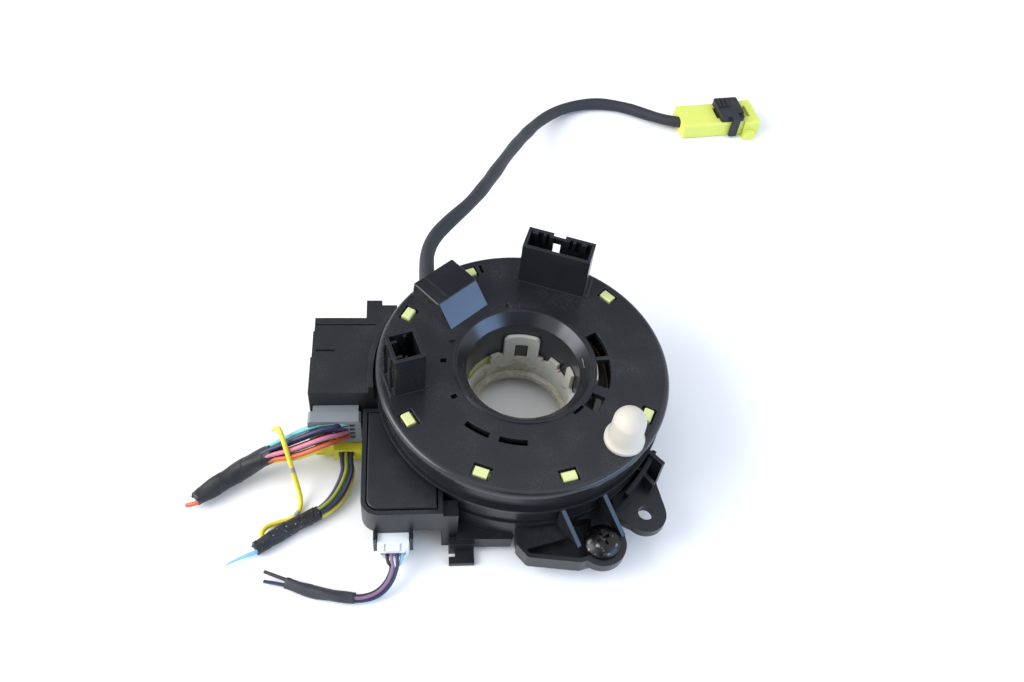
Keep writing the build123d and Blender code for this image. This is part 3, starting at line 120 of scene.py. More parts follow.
# %% Node trees
class Nodes:
    """A node tree and the few ways in which nodes are added to it."""

    def __init__(self, tree):
        self.tree = tree

    def node(self, kind, settings=None, values=None, output=0):
        """A node with its settings made first, then its sockets' values or links."""
        made = self.tree.nodes.new(kind)
        for label, value in (settings or {}).items():
            setattr(made, label, value)
        for label, value in (values or {}).items():
            self.put(made.inputs[label], value)
        return Value(self, made.outputs[output])

    def put(self, socket, value):
        """A link or a plain value into a socket."""
        if isinstance(value, Value):
            self.tree.links.new(value.socket, socket)
        else:
            socket.default_value = value

    def place(self, name="Object"):
        """Object coordinates, or others by their name."""
        return self.node("ShaderNodeTexCoord", output=name)

    def part(self, vector, axis):
        """One of a vector's three numbers."""
        return self.node("ShaderNodeSeparateXYZ", {}, {"Vector": vector}, axis)

    def noise(self, scale, detail=3.0, roughness=0.55, vector=None, distortion=0.0):
        """Smooth noise from 0 to 1; scale is in waves a metre."""
        return self.node("ShaderNodeTexNoise", {}, {
            "Vector": vector or self.place(), "Scale": scale, "Detail": detail,
            "Roughness": roughness, "Distortion": distortion})

    def step(self, value, low, high):
        """Smooth step from 0 to 1 between two values."""
        return self.node("ShaderNodeMapRange", {"interpolation_type": "SMOOTHSTEP"},
                         {"Value": value, "From Min": low, "From Max": high})

    def mix(self, share, first, second):
        """Colour between two colours. A Mix node keeps its colour sockets at 6, 7 and 2."""
        return self.node("ShaderNodeMix", {"data_type": "RGBA"},
                         {0: share, 6: first, 7: second}, 2)

    def wave(self, phase):
        """Sine of a phase, moved to between 0 and 1."""
        return self.node("ShaderNodeMath", {"operation": "SINE"}, {0: phase}) * 0.5 + 0.5


def rgb(red, green, blue):
    """Opaque colour."""
    return (red, green, blue, 1.0)


def shade(colour, factor, lift=0.0):
    """A colour made darker or lighter, and no channel above 1."""
    return rgb(*[min(1.0, channel * factor + lift) for channel in colour[:3]])


# %% [markdown]
# The light is that of a small tent: an even white surround, which gives soft shadows. Many
# lamps could do the same with more noise. Black plastic shows little but what it mirrors,
# so in two directions the surround goes softly dark, and those are the directions that the
# rotor's flat top and the case's front walls mirror.

# %% The surround
def surround(bright, dark, dark_toward):
    """World that is bright all round, with soft dark patches in some directions. A patch
    grows as the cosine between the view and its direction goes from one value to another."""
    world = bpy.data.worlds.new("surround")
    world.use_nodes = True
    tree = Nodes(world.node_tree)
    view = tree.place("Generated")
    colour = bright
    for direction, edge, full in dark_toward:
        cosine = tree.node("ShaderNodeVectorMath", {"operation": "DOT_PRODUCT"},
                           {0: view, 1: Vector(direction).normalized()}, "Value")
        colour = tree.mix(tree.step(cosine, edge, full), colour, dark)
    background = world.node_tree.nodes["Background"]
    background.inputs["Strength"].default_value = 1.0
    tree.put(background.inputs["Color"], colour)
    scene.world = world
    print("surround with", len(dark_toward), "dark patches")


# Each patch: its direction, the cosine at its edge, and the cosine where it is full.
above_rotor = ((0.05, 0.84, 0.54), 0.80, 0.985)
before_walls = ((0.08, -0.87, 0.50), 0.86, 0.96)
surround(rgb(1.14, 1.16, 1.20), rgb(0.16, 0.18, 0.24), [above_rotor, before_walls])

# %% [markdown]
# Two panels stand in the tent. The bluish one on the right is what the slope of the lead's
# cover mirrors, and the larger white one on the left draws the light edges. They are area
# lights, because a lamp with no size would leave hard shadows and mere dots in the gloss.

# %% Light panels
def panel(name, place, target, size, power, colour):
    """Soft rectangular light at a place, aimed at a target."""
    data = bpy.data.lights.new(name, "AREA")
    data.shape = "RECTANGLE"
    data.size, data.size_y = size
    data.energy = power
    data.color = colour
    lamp = bpy.data.objects.new(name, data)
    scene.collection.objects.link(lamp)
    lamp.location = place
    lamp.rotation_euler = (Vector(target) - Vector(place)).to_track_quat("-Z", "Y").to_euler()
    print(name, power, "W")


panel("right panel", place=(0.68, -0.44, 0.31), target=(0, 0, 0.03), size=(0.60, 0.26),
      power=3.2, colour=(0.30, 0.56, 1.0))
panel("left panel", place=(-0.8, -0.10, 0.55), target=(0, 0, 0.02), size=(0.7, 0.6),
      power=9.0, colour=(1.0, 1.0, 1.0))

# %% [markdown]
# A finish is a material with one Principled shader. What is the same all over is set on
# that shader's own sockets, because an exported model keeps those without any baking. What
# changes over the surface is fed to it from noise on Object coordinates, so it needs no
# unwrapping and stays on the piece when the piece moves.

# %% Finishes
class Finish(Nodes):
    """A material and the nodes that make it."""

    def __init__(self, name, **constants):
        self.material = bpy.data.materials.new(name)
        self.material.use_nodes = True
        super().__init__(self.material.node_tree)
        self.shader = self.tree.nodes["Principled BSDF"]
        for label, value in constants.items():
            self.shader.inputs[label.replace("_", " ")].default_value = value

    def feed(self, label, value):
        """A value that changes over the surface into the shader."""
        self.put(self.shader.inputs[label], value)

    def bump(self, height, strength, distance, radius=0.0):
        """Bump from a height, over edges that are rounded by a radius if one is given."""
        values = {"Height": height, "Strength": strength, "Distance": distance}
        if radius:
            values["Normal"] = self.node("ShaderNodeBevel", {"samples": 4}, {"Radius": radius})
        self.feed("Normal", self.node("ShaderNodeBump", {}, values))


def paint(material, *names):
    """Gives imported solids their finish."""
    for name in names:
        for slot in nodes[name].material_slots:
            slot.link = "OBJECT"
            slot.material = material


# %% [markdown]
# Moulded plastic is one recipe with different numbers: a fine grain from the tool, a slow
# change of gloss where hands have rubbed it, and dust that lies on what faces up. A colour
# with one roughness would look like a drawing of it. Edges are never razor sharp on a
# moulding. The solids' meshes stay as they are, so the normal comes through a Bevel node.

# %% Moulded plastic
dust_grey = rgb(0.42, 0.42, 0.43)
cool_tint = rgb(0.88, 0.93, 1.0)


def moulding(name, colour, roughness, grain=0.25, dust=0.12, dust_colour=dust_grey, tone=0.10,
             edge=0.25, specular=0.42, subsurface=0.0):
    """Plastic with grain, rubbed patches, dust on its upper side and slightly round edges.
    Tone is how far the colour wanders, and edge is the edge radius in millimetres."""
    finish = Finish(name, Specular_IOR_Level=specular, Specular_Tint=cool_tint)
    if subsurface:
        finish.shader.inputs["Subsurface Weight"].default_value = subsurface
        finish.shader.inputs["Subsurface Scale"].default_value = 2 * MM
    patches = finish.noise(70, 4)
    specks = finish.noise(2600, 2)
    fine = finish.noise(5200, 2)
    base = finish.mix(patches, shade(colour, 1 - tone), shade(colour, 1 + tone, 0.004))
    upward = finish.part(finish.node("ShaderNodeNewGeometry", output="Normal"), 2)
    settled = finish.step(specks * 0.55 + patches * 0.45, 0.50, 0.72)
    amount = finish.step(upward, 0.55, 1.0) * settled * dust
    finish.feed("Base Color", finish.mix(amount, base, dust_colour))
    finish.feed("Roughness", roughness + (patches - 0.5) * 0.16 + amount * 0.5)
    finish.bump(fine * 0.6 + specks * 0.4, grain, 0.03 * MM, edge * MM)
    return finish.material


# %% [markdown]
# Most of the part is black, yet no two blacks are alike. The rotor and the lead's cover are
# glossy, the case is duller, and the plug module has a coarse matt grain. The hook ring and
# the gear sleeve are yellow-green, and the cap and the plugs cream, grey, yellow and white.
# Each plastic is one row of a table: its name, colour, pieces and numbers for the recipe.

# %% The plastics of this part
plastics = [
    ("rotor black", rgb(0.0105, 0.0110, 0.0130), ["rotor_plate"],
     dict(roughness=0.24, grain=0.10, dust=0.04, tone=0.15, edge=0.5, specular=0.52)),
    ("cover black", rgb(0.0095, 0.010, 0.012), ["outlet_cover"],
     dict(roughness=0.17, grain=0.08, dust=0.03, tone=0.15, edge=0.3, specular=0.5)),
    ("case black", rgb(0.0085, 0.009, 0.0105),
     ["stator_case", "chamber_floor", "base_housing", "sensor_lid"],
     dict(roughness=0.34, grain=0.22, dust=0.05, tone=0.15)),
    ("module black", rgb(0.0095, 0.010, 0.011), ["module_case", "module_cover"],
     dict(roughness=0.42, grain=0.35, dust=0.06, tone=0.12)),
    ("lock black", rgb(0.016, 0.017, 0.021), ["connector_lock"],
     dict(roughness=0.42, grain=0.3, dust=0.14)),
    ("hook green", rgb(0.58, 0.62, 0.28), ["hook_ring"],
     dict(roughness=0.42, grain=0.15, dust=0.06, dust_colour=rgb(0.6, 0.6, 0.45),
          subsurface=0.1)),
    ("gear green", rgb(0.42, 0.47, 0.16), ["gear_sleeve"],
     dict(roughness=0.40, grain=0.15, dust=0.05, dust_colour=rgb(0.5, 0.5, 0.42))),
    ("cap cream", rgb(0.57, 0.53, 0.46), ["pin_cap"],
     dict(roughness=0.42, grain=0.12, dust=0.05, dust_colour=rgb(0.6, 0.57, 0.5), tone=0.05,
          subsurface=0.15)),
    ("plug grey", rgb(0.195, 0.215, 0.235), ["main_plug"],
     dict(roughness=0.42, grain=0.2, dust=0.08)),
    ("plug yellow", rgb(0.66, 0.72, 0.14), ["airbag_connector"],
     dict(roughness=0.40, grain=0.15, dust=0.05, dust_colour=rgb(0.6, 0.62, 0.2), tone=0.06,
          subsurface=0.08)),
    ("socket yellow", rgb(0.68, 0.64, 0.03), ["airbag_plug"],
     dict(roughness=0.42, grain=0.15, dust=0.06)),
    ("plug white", rgb(0.74, 0.78, 0.80), ["sensor_plug"],
     dict(roughness=0.40, grain=0.15, dust=0.08, tone=0.04, subsurface=0.1)),
    ("measuring gear white", rgb(0.8, 0.8, 0.76),
     ["first_gear", "second_gear", "inner_cable_block", "outer_cable_block", "slide_sheet"],
     dict(roughness=0.4, tone=0.04)),
    ("cable film", rgb(0.060, 0.048, 0.022), ["flat_cable"],
     dict(roughness=0.35, grain=0.1, dust=0.05)),
    ("board green", rgb(0.02, 0.12, 0.04), ["sensor_board"], dict(roughness=0.3)),
    ("chip black", rgb(0.015, 0.015, 0.015), ["sensor_chips"], dict(roughness=0.4))]

for name, colour, pieces, settings in plastics:
    paint(moulding(name, colour, **settings), *pieces)
print(len(plastics), "plastics")

# %% [markdown]
# The sleeve in the bore is bare nylon. It is cloudy rather than clear or opaque, so it gets
# light scattered under its surface and no transparency. The grease of the column has left
# brown smears on it. They are noise past a threshold, and nearer its foot more of the noise
# passes, which looks more like grease than a plain fade would.

# %% Milky nylon with grease
nylon_scatter = 3 * MM
grease_starts = 27 * MM
grease_thickest = 8 * MM


def milky_nylon():
    """Cloudy nylon, browned and glossier where grease lies, most of it near the foot."""
    finish = Finish("milky nylon", Subsurface_Weight=0.35, Subsurface_Scale=nylon_scatter)
    depth = finish.step(finish.part(finish.place(), 2), grease_starts, grease_thickest)
    smears = finish.noise(130, 5, 0.65, distortion=0.6)
    grease = finish.step(smears + depth * 0.34, 0.62, 0.90)
    spots = finish.step(finish.noise(900, 2), 0.68, 0.76) * 0.6
    clean = finish.mix(finish.noise(45), rgb(0.42, 0.42, 0.38), rgb(0.54, 0.54, 0.49))
    greased = finish.mix(grease * 0.62, clean, rgb(0.30, 0.26, 0.17))
    finish.feed("Base Color", finish.mix(spots, greased, rgb(0.10, 0.09, 0.07)))
    finish.feed("Roughness", 0.42 - grease * 0.22)
    finish.bump(smears, 0.25, 0.12 * MM, 0.25 * MM)
    return finish.material


paint(milky_nylon(), "cancel_sleeve")
print("nylon on cancel_sleeve")

# %% [markdown]
# Metal shows in few places: tinned contact pins, the blackened screw that has rubbed
# bright in places, and the small magnets of the measuring gears. They are too small for
# drawn scratches, so fine noise stands for these, and on the screw a coarser noise picks
# the patches that are worn through.

# %% Metals
def metal(name, colour, roughness, rubbed=None, edge=0.2):
    """Metal with fine scratches and, where a rubbed colour is given, patches worn bright."""
    finish = Finish(name, Metallic=1.0)
    scratches = finish.noise(1500, 3)
    if rubbed:
        base = finish.mix(finish.step(finish.noise(420, 4), 0.55, 0.75), colour, rubbed)
    else:
        base = finish.mix(scratches, colour, shade(colour, 0.8))
    finish.feed("Base Color", base)
    finish.feed("Roughness", roughness + (scratches - 0.5) * 0.2)
    finish.bump(scratches, 0.2, 0.03 * MM, edge * MM)
    return finish.material


paint(metal("tinned contact", rgb(0.66, 0.65, 0.62), 0.28, edge=0.1), "large_socket_pins",
      "small_socket_pins", "main_socket_pins", "airbag_socket_pins", "header_pins")
paint(metal("blackened screw", rgb(0.035, 0.034, 0.036), 0.34, rubbed=rgb(0.34, 0.33, 0.32)),
      "ear_screw")
paint(metal("magnet", rgb(0.16, 0.16, 0.17), 0.45), "first_magnet", "second_magnet")
print("3 metals")

# %% [markdown]
# Insulation is smooth and soft, with faint dirt in streaks. Wires, woven sleeve and tape
# bend with their cords, so their patterns can't read Object coordinates as the mouldings
# do. They read a UV map in metres: U runs round the cord and V along it.

# %% Wire insulation
clamp_grey = rgb(0.30, 0.30, 0.33)


def wire_finish(name, colour, marks=()):
    """Insulation with faint dirt along the wire, and grey marks where it was clamped, at
    these distances in millimetres from its start."""
    finish = Finish(name)
    surface = finish.place("UV")
    dirt = finish.noise(220, 4, vector=surface)
    base = finish.mix(finish.step(dirt, 0.45, 0.85) * 0.6, colour, shade(colour, 0.55, 0.01))
    distance = finish.part(surface, 1)
    for mark in marks:
        away = finish.node("ShaderNodeMath", {"operation": "ABSOLUTE"},
                           {0: distance - mark * MM})
        clamped = finish.step(away + dirt * 1.2 * MM, 2.0 * MM, 1.4 * MM)
        base = finish.mix(clamped, base, clamp_grey)
    finish.feed("Base Color", base)
    finish.feed("Roughness", 0.34 + dirt * 0.18)
    finish.bump(finish.noise(900, 3, vector=surface), 0.2, 0.05 * MM)
    return finish.material


wire_colours = {
    "teal": rgb(0.15, 0.50, 0.54), "navy": rgb(0.018, 0.024, 0.075),
    "pink": rgb(0.50, 0.17, 0.24), "white": rgb(0.68, 0.68, 0.67),
    "maroon": rgb(0.11, 0.018, 0.03), "red": rgb(0.58, 0.07, 0.05),
    "yellow": rgb(0.76, 0.63, 0.04), "green": rgb(0.08, 0.34, 0.06),
    "olive": rgb(0.24, 0.30, 0.03), "black": rgb(0.012, 0.012, 0.015),
    "sky": rgb(0.24, 0.50, 0.74), "grey": rgb(0.26, 0.27, 0.30),
    "violet": rgb(0.060, 0.035, 0.115), "orange": rgb(0.54, 0.10, 0.04),
    "mauve": rgb(0.22, 0.12, 0.22)}
wire_finishes = {name: wire_finish(f"wire {name}", colour)
                 for name, colour in wire_colours.items()}
print(len(wire_finishes), "wire colours")

# %% [markdown]
# A woven sleeve has threads that run up to the right and threads that run up to the left.
# Modelled one by one they would be thousands. Here each family is a sine of U plus or minus
# V, and their mean is high where threads cross. The sleeve's colour is paler where that mean
# is high, which is a painted highlight on the raised threads and painted shade between them.
# Cloth tape is a square weave, so it takes a sine of U times a sine of V, with dust in it.
# Pale specks are where its surface has rubbed off, and the worn tape has more of them.

# %% Woven sleeve and cloth tape
def woven_sleeve(name, colour, pale, pitch):
    """Tight diagonal weave: two families of threads that cross along the cord. Its colour is
    paler where they rise, a painted highlight, and darker between them, a painted shade.
    """
    finish = Finish(name)
    surface = finish.place("UV")
    turn = 2 * pi / pitch
    across, along = finish.part(surface, 0) * turn, finish.part(surface, 1) * turn
    weave = finish.wave(across + along) * 0.5 + finish.wave(across - along) * 0.5
    patches = finish.noise(160, 3)
    # Paler where the weave rises: a painted highlight on the threads, painted shade between
    # them.
    finish.feed("Base Color", finish.mix(weave * 0.6 + patches * 0.4, colour, pale))
    finish.feed("Roughness", 0.50 + weave * 0.2)
    finish.bump(weave, 0.6, 0.16 * MM)
    return finish.material


def cloth_tape(name, specks):
    """Black cloth tape: fine cross threads, dull, with dust in the weave and pale specks."""
    finish = Finish(name)
    surface = finish.place("UV")
    turn = 2 * pi / (0.55 * MM)
    threads = (finish.wave(finish.part(surface, 0) * turn)
               * finish.wave(finish.part(surface, 1) * turn))
    dust = finish.step(finish.noise(380, 4), 0.5, 0.8)
    base = finish.mix(dust * 0.3, rgb(0.006, 0.0075, 0.010), rgb(0.055, 0.065, 0.080))
    pale = finish.step(finish.noise(1300, 2), 0.68, 0.72) * specks
    finish.feed("Base Color", finish.mix(pale, base, rgb(0.5, 0.5, 0.5)))
    finish.feed("Roughness", 0.42 + threads * 0.2)
    finish.bump(threads * 0.5 + finish.noise(500, 3) * 0.8, 0.5, 0.12 * MM)
    return finish.material


lead_weave = woven_sleeve("lead sleeve", rgb(0.006, 0.007, 0.010), rgb(0.024, 0.028, 0.040),
                          0.9 * MM)
harness_weave = woven_sleeve("harness sleeve", rgb(0.008, 0.009, 0.012),
                             rgb(0.045, 0.05, 0.065), 0.8 * MM)
tape_black = cloth_tape("cloth tape", 0.1)
tape_worn = cloth_tape("worn tape", 0.8)
print("2 woven sleeves, 2 tapes")

# %% [markdown]
# A cord is a fixed length of something flexible, so its line is one smooth spline with a
# few control points. Straight runs with rounded corners would look like bent wire. Blender's
# own NURBS curve works the spline out, and its points are read back, so that the tube and
# everything else on the cord follow the same line.

# %% A smooth line
def smooth_line(points):
    """Points along a quadratic NURBS with these control points, in metres."""
    data = bpy.data.curves.new("route", "CURVE")
    data.dimensions = "3D"
    spline = data.splines.new("NURBS")
    spline.points.add(len(points) - 1)
    weighted = np.c_[np.array(points, float), np.ones(len(points))]
    spline.points.foreach_set("co", weighted.ravel())
    spline.order_u = 3
    spline.use_endpoint_u = True
    spline.resolution_u = 16
    made = bpy.data.objects.new("route", data)
    mesh = bpy.data.meshes.new_from_object(made)
    line = np.empty(3 * len(mesh.vertices))
    mesh.vertices.foreach_get("co", line)
    bpy.data.objects.remove(made)
    bpy.data.curves.remove(data)
    bpy.data.meshes.remove(mesh)
    return line.reshape(-1, 3)


def distances(line):
    """Distance along the line of each of its points: the sum of the steps before it."""
    return np.r_[0, np.cumsum(np.linalg.norm(np.diff(line, axis=0), axis=1))]


def spaced(line, count):
    """The same line at a count of evenly spaced points: each of the three coordinates is
    read off at even steps of the distance."""
    reached = distances(line)
    wanted = np.linspace(0, reached[-1], count)
    return np.stack([np.interp(wanted, reached, line[:, axis]) for axis in range(3)], 1)


# %% [markdown]
# A surface that follows a line is a grid of points, with one row for each point of the line
# and one column for each side. The grid closes round, so the last column joins the first,
# and a flat cap closes each end, so the piece is a whole solid. All faces come from one
# table of point numbers, set beside a copy of itself that is rolled by one column.

# %% A closed grid
def grid_mesh(name, rings, around, along):
    """Piece from a (length, round, 3) grid of points that closes round, with flat caps. Its
    UV map holds the distance around and along, each quad running on from its own column."""
    rows, columns = rings.shape[:2]
    index = np.arange(rows * columns).reshape(rows, columns)
    beside = np.roll(index, -1, axis=1)
    quads = np.stack([index[:-1], index[1:], beside[1:], beside[:-1]], -1).reshape(-1, 4)
    caps = [index[0].tolist(), index[-1][::-1].tolist()]
    mesh = bpy.data.meshes.new(name)
    mesh.from_pydata(rings.reshape(-1, 3).tolist(), [], quads.tolist() + caps)

    far = around + around[1] - around[0]
    us = np.broadcast_to(np.stack([around, around, far, far], -1), (rows - 1, columns, 4))
    vs = np.stack([along[:-1], along[1:], along[1:], along[:-1]], -1)[:, None]
    sides = np.stack([us, np.broadcast_to(vs, us.shape)], -1).reshape(-1, 2)
    uv = np.zeros((len(mesh.loops), 2))
    uv[:len(sides)] = sides
    mesh.uv_layers.new(name="along").data.foreach_set("uv", uv.ravel())

    smooth = np.ones(len(mesh.polygons), bool)
    smooth[-len(caps):] = False
    mesh.polygons.foreach_set("use_smooth", smooth)
    piece = bpy.data.objects.new(name, mesh)
    scene.collection.objects.link(piece)
    return piece


# %% [markdown]
# A bevelled curve would be a quicker tube, but it can't bulge more on one side or have torn
# ends, and its UV map isn't in metres. Here a row of the grid is a ring: its centre plus the
# radius times the cosine across the line and the sine upwards. Level across and upwards
# never twist, because none of the lines stands upright.

# %% Tubes
table_gap = 0.03 * MM


def directions(line):
    """Unit vectors along the line (its slope), level across it (the slope crossed with
    straight up) and upwards across it (those two crossed)."""
    along = np.gradient(line, axis=0)
    along /= np.linalg.norm(along, axis=1)[:, None]
    across = np.cross(along, (0, 0, 1.0))
    across /= np.linalg.norm(across, axis=1)[:, None]
    return along, across, np.cross(across, along)


def tube(name, line, radius, sides, swell=None, ragged=0.0):
    """Round tube on a line: a ring at each point is its centre plus radius times
    (cosine across + sine up). swell(turn, distance) adds to the radius. Ragged ends run
    out by half that length, and two sines round the tube make it more or less. Nothing
    goes below the table."""
    turn = np.arange(sides) * 2 * pi / sides
    distance = distances(line)
    along, across, up = directions(line)
    size = np.full((len(line), sides), radius)
    if swell:
        size = size + swell(turn[None, :], distance[:, None])
    outward = (np.cos(turn)[None, :, None] * across[:, None]
               + np.sin(turn)[None, :, None] * up[:, None])
    rings = line[:, None] + size[..., None] * outward
    if ragged:
        tear = ragged * (0.5 + 0.3 * np.sin(3 * turn + 1.0) + 0.2 * np.sin(7 * turn))
        rings[0] -= tear[:, None] * along[0]
        rings[-1] += tear[::-1, None] * along[-1]
    rings[..., 2] = np.maximum(rings[..., 2], table_gap)
    return grid_mesh(name, rings, turn * radius, distance)


def dress(piece, material, body):
    """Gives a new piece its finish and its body."""
    piece.data.materials.append(material)
    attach(piece, body)
    return piece


# %% [markdown]
# The airbag lead leaves its cover on the rotor, swings out over the part and comes down to
# the table, where its yellow connector lies. It carries a woven sleeve for its whole length.
# A perfect tube would look like rubber hose, so the radius wanders by two slow sines. The
# lead rides on the rotor, and it stands for the plainer solid that was packed for it.

# %% The airbag lead
lead_diameter = 5.5 * MM
lead_route = np.array([
    (-34.0, 33.8, 43.0), (-34.0, 41.6, 43.0), (-33.8, 49.4, 43.6), (-30.9, 57.4, 44.2),
    (-25.2, 65.8, 43.8), (-14.6, 81.0, 41.0), (-5.2, 102.4, 34.6), (4.6, 129.0, 24.6),
    (15.0, 155.4, 13.2), (26.4, 176.4, 6.2), (40.0, 189.2, 3.4), (54.6, 193.8, 2.9),
    (69.0, 191.8, 2.9), (80.6, 186.0, 3.0), (89.4, 180.8, 3.7), (98.0, 178.4, 4.2)]) * MM


def sleeve_swell(turn, distance):
    """Small uneven swelling: a sine along the sleeve, and a weaker one that winds round."""
    along = distance / MM
    return (0.10 * np.sin(along / 4.3 + np.sin(along / 11))
            + 0.06 * np.sin(2 * turn + along / 9)) * MM


lead_line = spaced(smooth_line(lead_route), count=420)
lead = tube("lead_sleeve", lead_line, lead_diameter / 2, sides=28, swell=sleeve_swell)
dress(lead, lead_weave, "rotor")
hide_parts("airbag_lead")

# %% [markdown]
# Each harness was cut off a few centimetres from its plug. Its wires fan out of the plug, draw
# together and run under tape to the cut end, on a route that all of them share. Real tape
# is a long ribbon, but of its windings only the lapped edges show. So it is a tube on the
# last part of the route, whose radius follows a few sizes along it, steps at the spiral
# edge where one turn laps the last, and bulges over the wires.

# %% Routes and tape
main_route = np.array([
    (-61.0, -16.8, 17.4), (-70.0, -17.2, 16.6), (-81.0, -16.8, 13.8), (-91.0, -17.8, 9.6),
    (-98.6, -20.6, 6.4), (-107.4, -26.0, 4.5), (-114.8, -32.2, 4.3)]) * MM
pair_route = np.array([
    (-62.0, -15.0, 6.2), (-62.4, -22.6, 5.0), (-64.8, -29.8, 3.4), (-68.4, -35.2, 2.9),
    (-73.6, -38.9, 2.9), (-80.0, -41.9, 2.9), (-86.6, -46.0, 2.9), (-92.6, -50.8, 2.9)]) * MM
sensor_route = np.array([
    (-45.4, -56.0, 7.4), (-45.6, -60.4, 6.0), (-47.4, -65.0, 4.2), (-50.9, -68.4, 2.8),
    (-55.7, -69.8, 2.0), (-60.6, -69.6, 2.1), (-67.0, -68.4, 2.25), (-74.6, -66.3, 2.25),
    (-82.2, -63.2, 2.25), (-89.2, -61.4, 2.25)]) * MM


def stretch(route, count, first, last):
    """Part of a route's line: from one to another of a count of evenly spaced points."""
    return spaced(smooth_line(route), count)[first:last]


def wrap(name, line, radii, band, lip, material, sides=36):
    """Tape wound round a bundle, with these radii in millimetres at even steps along it.
    Band is the width of one turn, and lip the thickness of the tape at its edge."""
    marks = np.linspace(0, distances(line)[-1], len(radii))
    middle = sum(radii) / len(radii) * MM

    def swell(turn, distance):
        """How far this distance's radius is from the mean, plus the lap, which wears off
        over a turn, plus two sines for the wires under the tape."""
        along = distance / MM
        size = np.interp(distance, marks, radii) * MM
        phase = distance / band - turn / (2 * pi)
        since_edge = phase - np.floor(phase)
        ridges = (0.16 * np.sin(3 * turn + along / 4.7)
                  + 0.13 * np.sin(along / 1.9 + 2 * turn))
        return size - middle + lip * (1 - since_edge) + ridges * MM

    piece = tube(name, line, middle, sides, swell, ragged=1.1 * MM)
    print(name, round(float(marks[-1]), 4), "m")
    return dress(piece, material, "base")


main_tape = wrap("main_tape", stretch(main_route[2:], count=150, first=34, last=-1),
                 radii=(3.2, 3.5, 3.5, 3.3, 2.6), band=9 * MM, lip=0.14 * MM,
                 material=tape_black)
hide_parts("main_harness_tape")
pair_tape = wrap("pair_tape", stretch(pair_route[3:], count=120, first=22, last=None),
                 radii=(2.3, 2.55, 2.6, 2.6, 2.2), band=5.5 * MM, lip=0.22 * MM,
                 material=tape_worn)
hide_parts("airbag_harness_tape")
sensor_sleeve = wrap("sensor_sleeve",
                     stretch(sensor_route[3:], count=150, first=34, last=-30),
                     radii=(1.75, 1.9, 2.0, 2.05, 1.8), band=7 * MM, lip=0.10 * MM,
                     material=harness_weave, sides=22)
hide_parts("sensor_harness_sleeve")

# %% [markdown]
# To draw every wire by hand would take some two hundred points. Instead a wire's control
# points are the route's own points, moved sideways and up to its place in the round bundle,
# with its cavity in the plug as the first point. In the open stretch the places spread out,
# as loose wires do, and under the tape they lie close together.

# %% One wire of a bundle
# Stops short: how many millimetres before the route's end. Beyond: points past that end.
# Pointed: cut at a slant, so that its tip runs out thin.
Wire = namedtuple("Wire", "colour cavity stops_short beyond pointed", defaults=(0, (), False))
wire_points = 130
wire_sides = 14
cut_length = 9 * MM
cut_depth = 0.6
wire_gap = 0.05 * MM


def bundle_places(inside, around, wire, turned):
    """Places of wires in a round bundle: a ring whose wires touch, so its radius is half a
    wire over the sine of half their angle, and some wires in a row inside it."""
    reach = wire / 2 / sin(pi / around)
    angles = turned + np.arange(around) * 2 * pi / around
    middle = [((number - (inside - 1) / 2) * wire, 0.0) for number in range(inside)]
    return [(reach * cos(angle), reach * sin(angle)) for angle in angles] + middle


def wire_line(wire, place, route, leave, twist, spread, free, lean):
    """A wire's line: its cavity, a short straight stretch, then the route's points from the
    second on, moved across and up by its place, which turns by the twist from start to end.
    The wires lie loosest half-way along the free share of the route. Lean moves the first
    of those points."""
    _, across, up = directions(route)
    share = np.linspace(0, 1, len(route))
    turn = twist * share
    loose = 1 + spread * np.sin(pi * np.minimum(share / free, 1))
    side = (place[0] * np.cos(turn) - place[1] * np.sin(turn)) * loose
    lift = (place[0] * np.sin(turn) + place[1] * np.cos(turn)) * (0.8 + 0.2 * loose)
    moved = route + side[:, None] * across + lift[:, None] * up
    moved[1] += np.array(lean) * MM
    start = np.array(wire.cavity) * MM
    beyond = [np.array(point) * MM for point in wire.beyond]
    return smooth_line([start, start + np.array(leave) * MM, *moved[1:]] + beyond)


# %% [markdown]
# A harness is its wires, one tube each, so that every wire can be followed from its cavity
# to the tape. Most of them stop short under the tape, where nobody sees them, and a few run
# on beyond it to their own cut ends. The first wire stands for the imported solid of the
# whole bundle, which is hidden.

# %% A harness
def harness(name, wires, places, size, route, solid, wrapped_in, **course):
    """One tube for each wire; course is how they leave the plug and lie in the bundle."""
    for number, wire in enumerate(wires):
        whole = wire_line(wire, places[number], route, **course)
        line = spaced(whole, wire_points)
        if not wire.beyond:
            reached = np.linspace(0, distances(whole)[-1], wire_points)
            ends = reached[-1] - wire.stops_short * MM
            line = line[:int(np.searchsorted(reached, ends))]
        line[:, 2] = np.maximum(line[:, 2], size / 2 + wire_gap)
        length = float(distances(line)[-1])

        def sharpen(turn, distance, start=length - cut_length):
            """The radius shrinks evenly over the cut, the same all round."""
            share = np.clip((distance - start) / cut_length, 0, 1)
            return -cut_depth * size / 2 * share + 0 * turn

        piece = tube(f"{name}_wire_{number + 1}", line, size / 2, wire_sides,
                     sharpen if wire.pointed else None)
        dress(piece, wire_finishes[wire.colour], "base")
        if number == 0:
            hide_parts(solid)
        [wrapped_in] if number == 0 else []
    print(name, len(wires), "wires, the last", round(length, 4), "m")


# %% [markdown]
# The main harness leaves the grey plug, whose cavities stand in a grid, so each wire is
# given a column and a row rather than a place. Nine wires lie round the bundle in the order
# of the list, from its upper back over its top, and two lie inside. One cut end looks out
# of the tape.

# %% The main harness
main_wire = 1.65 * MM
corner_x, mouth_y, corner_z = -72.6, -9.5, 13.0
column_step = 2.36
row_step = 2.467


def main_cavity(column, row):
    """Mouth of a wire cavity in the grey plug, in millimetres: a corner plus whole steps."""
    return corner_x + column_step * column, mouth_y, corner_z + row_step * row


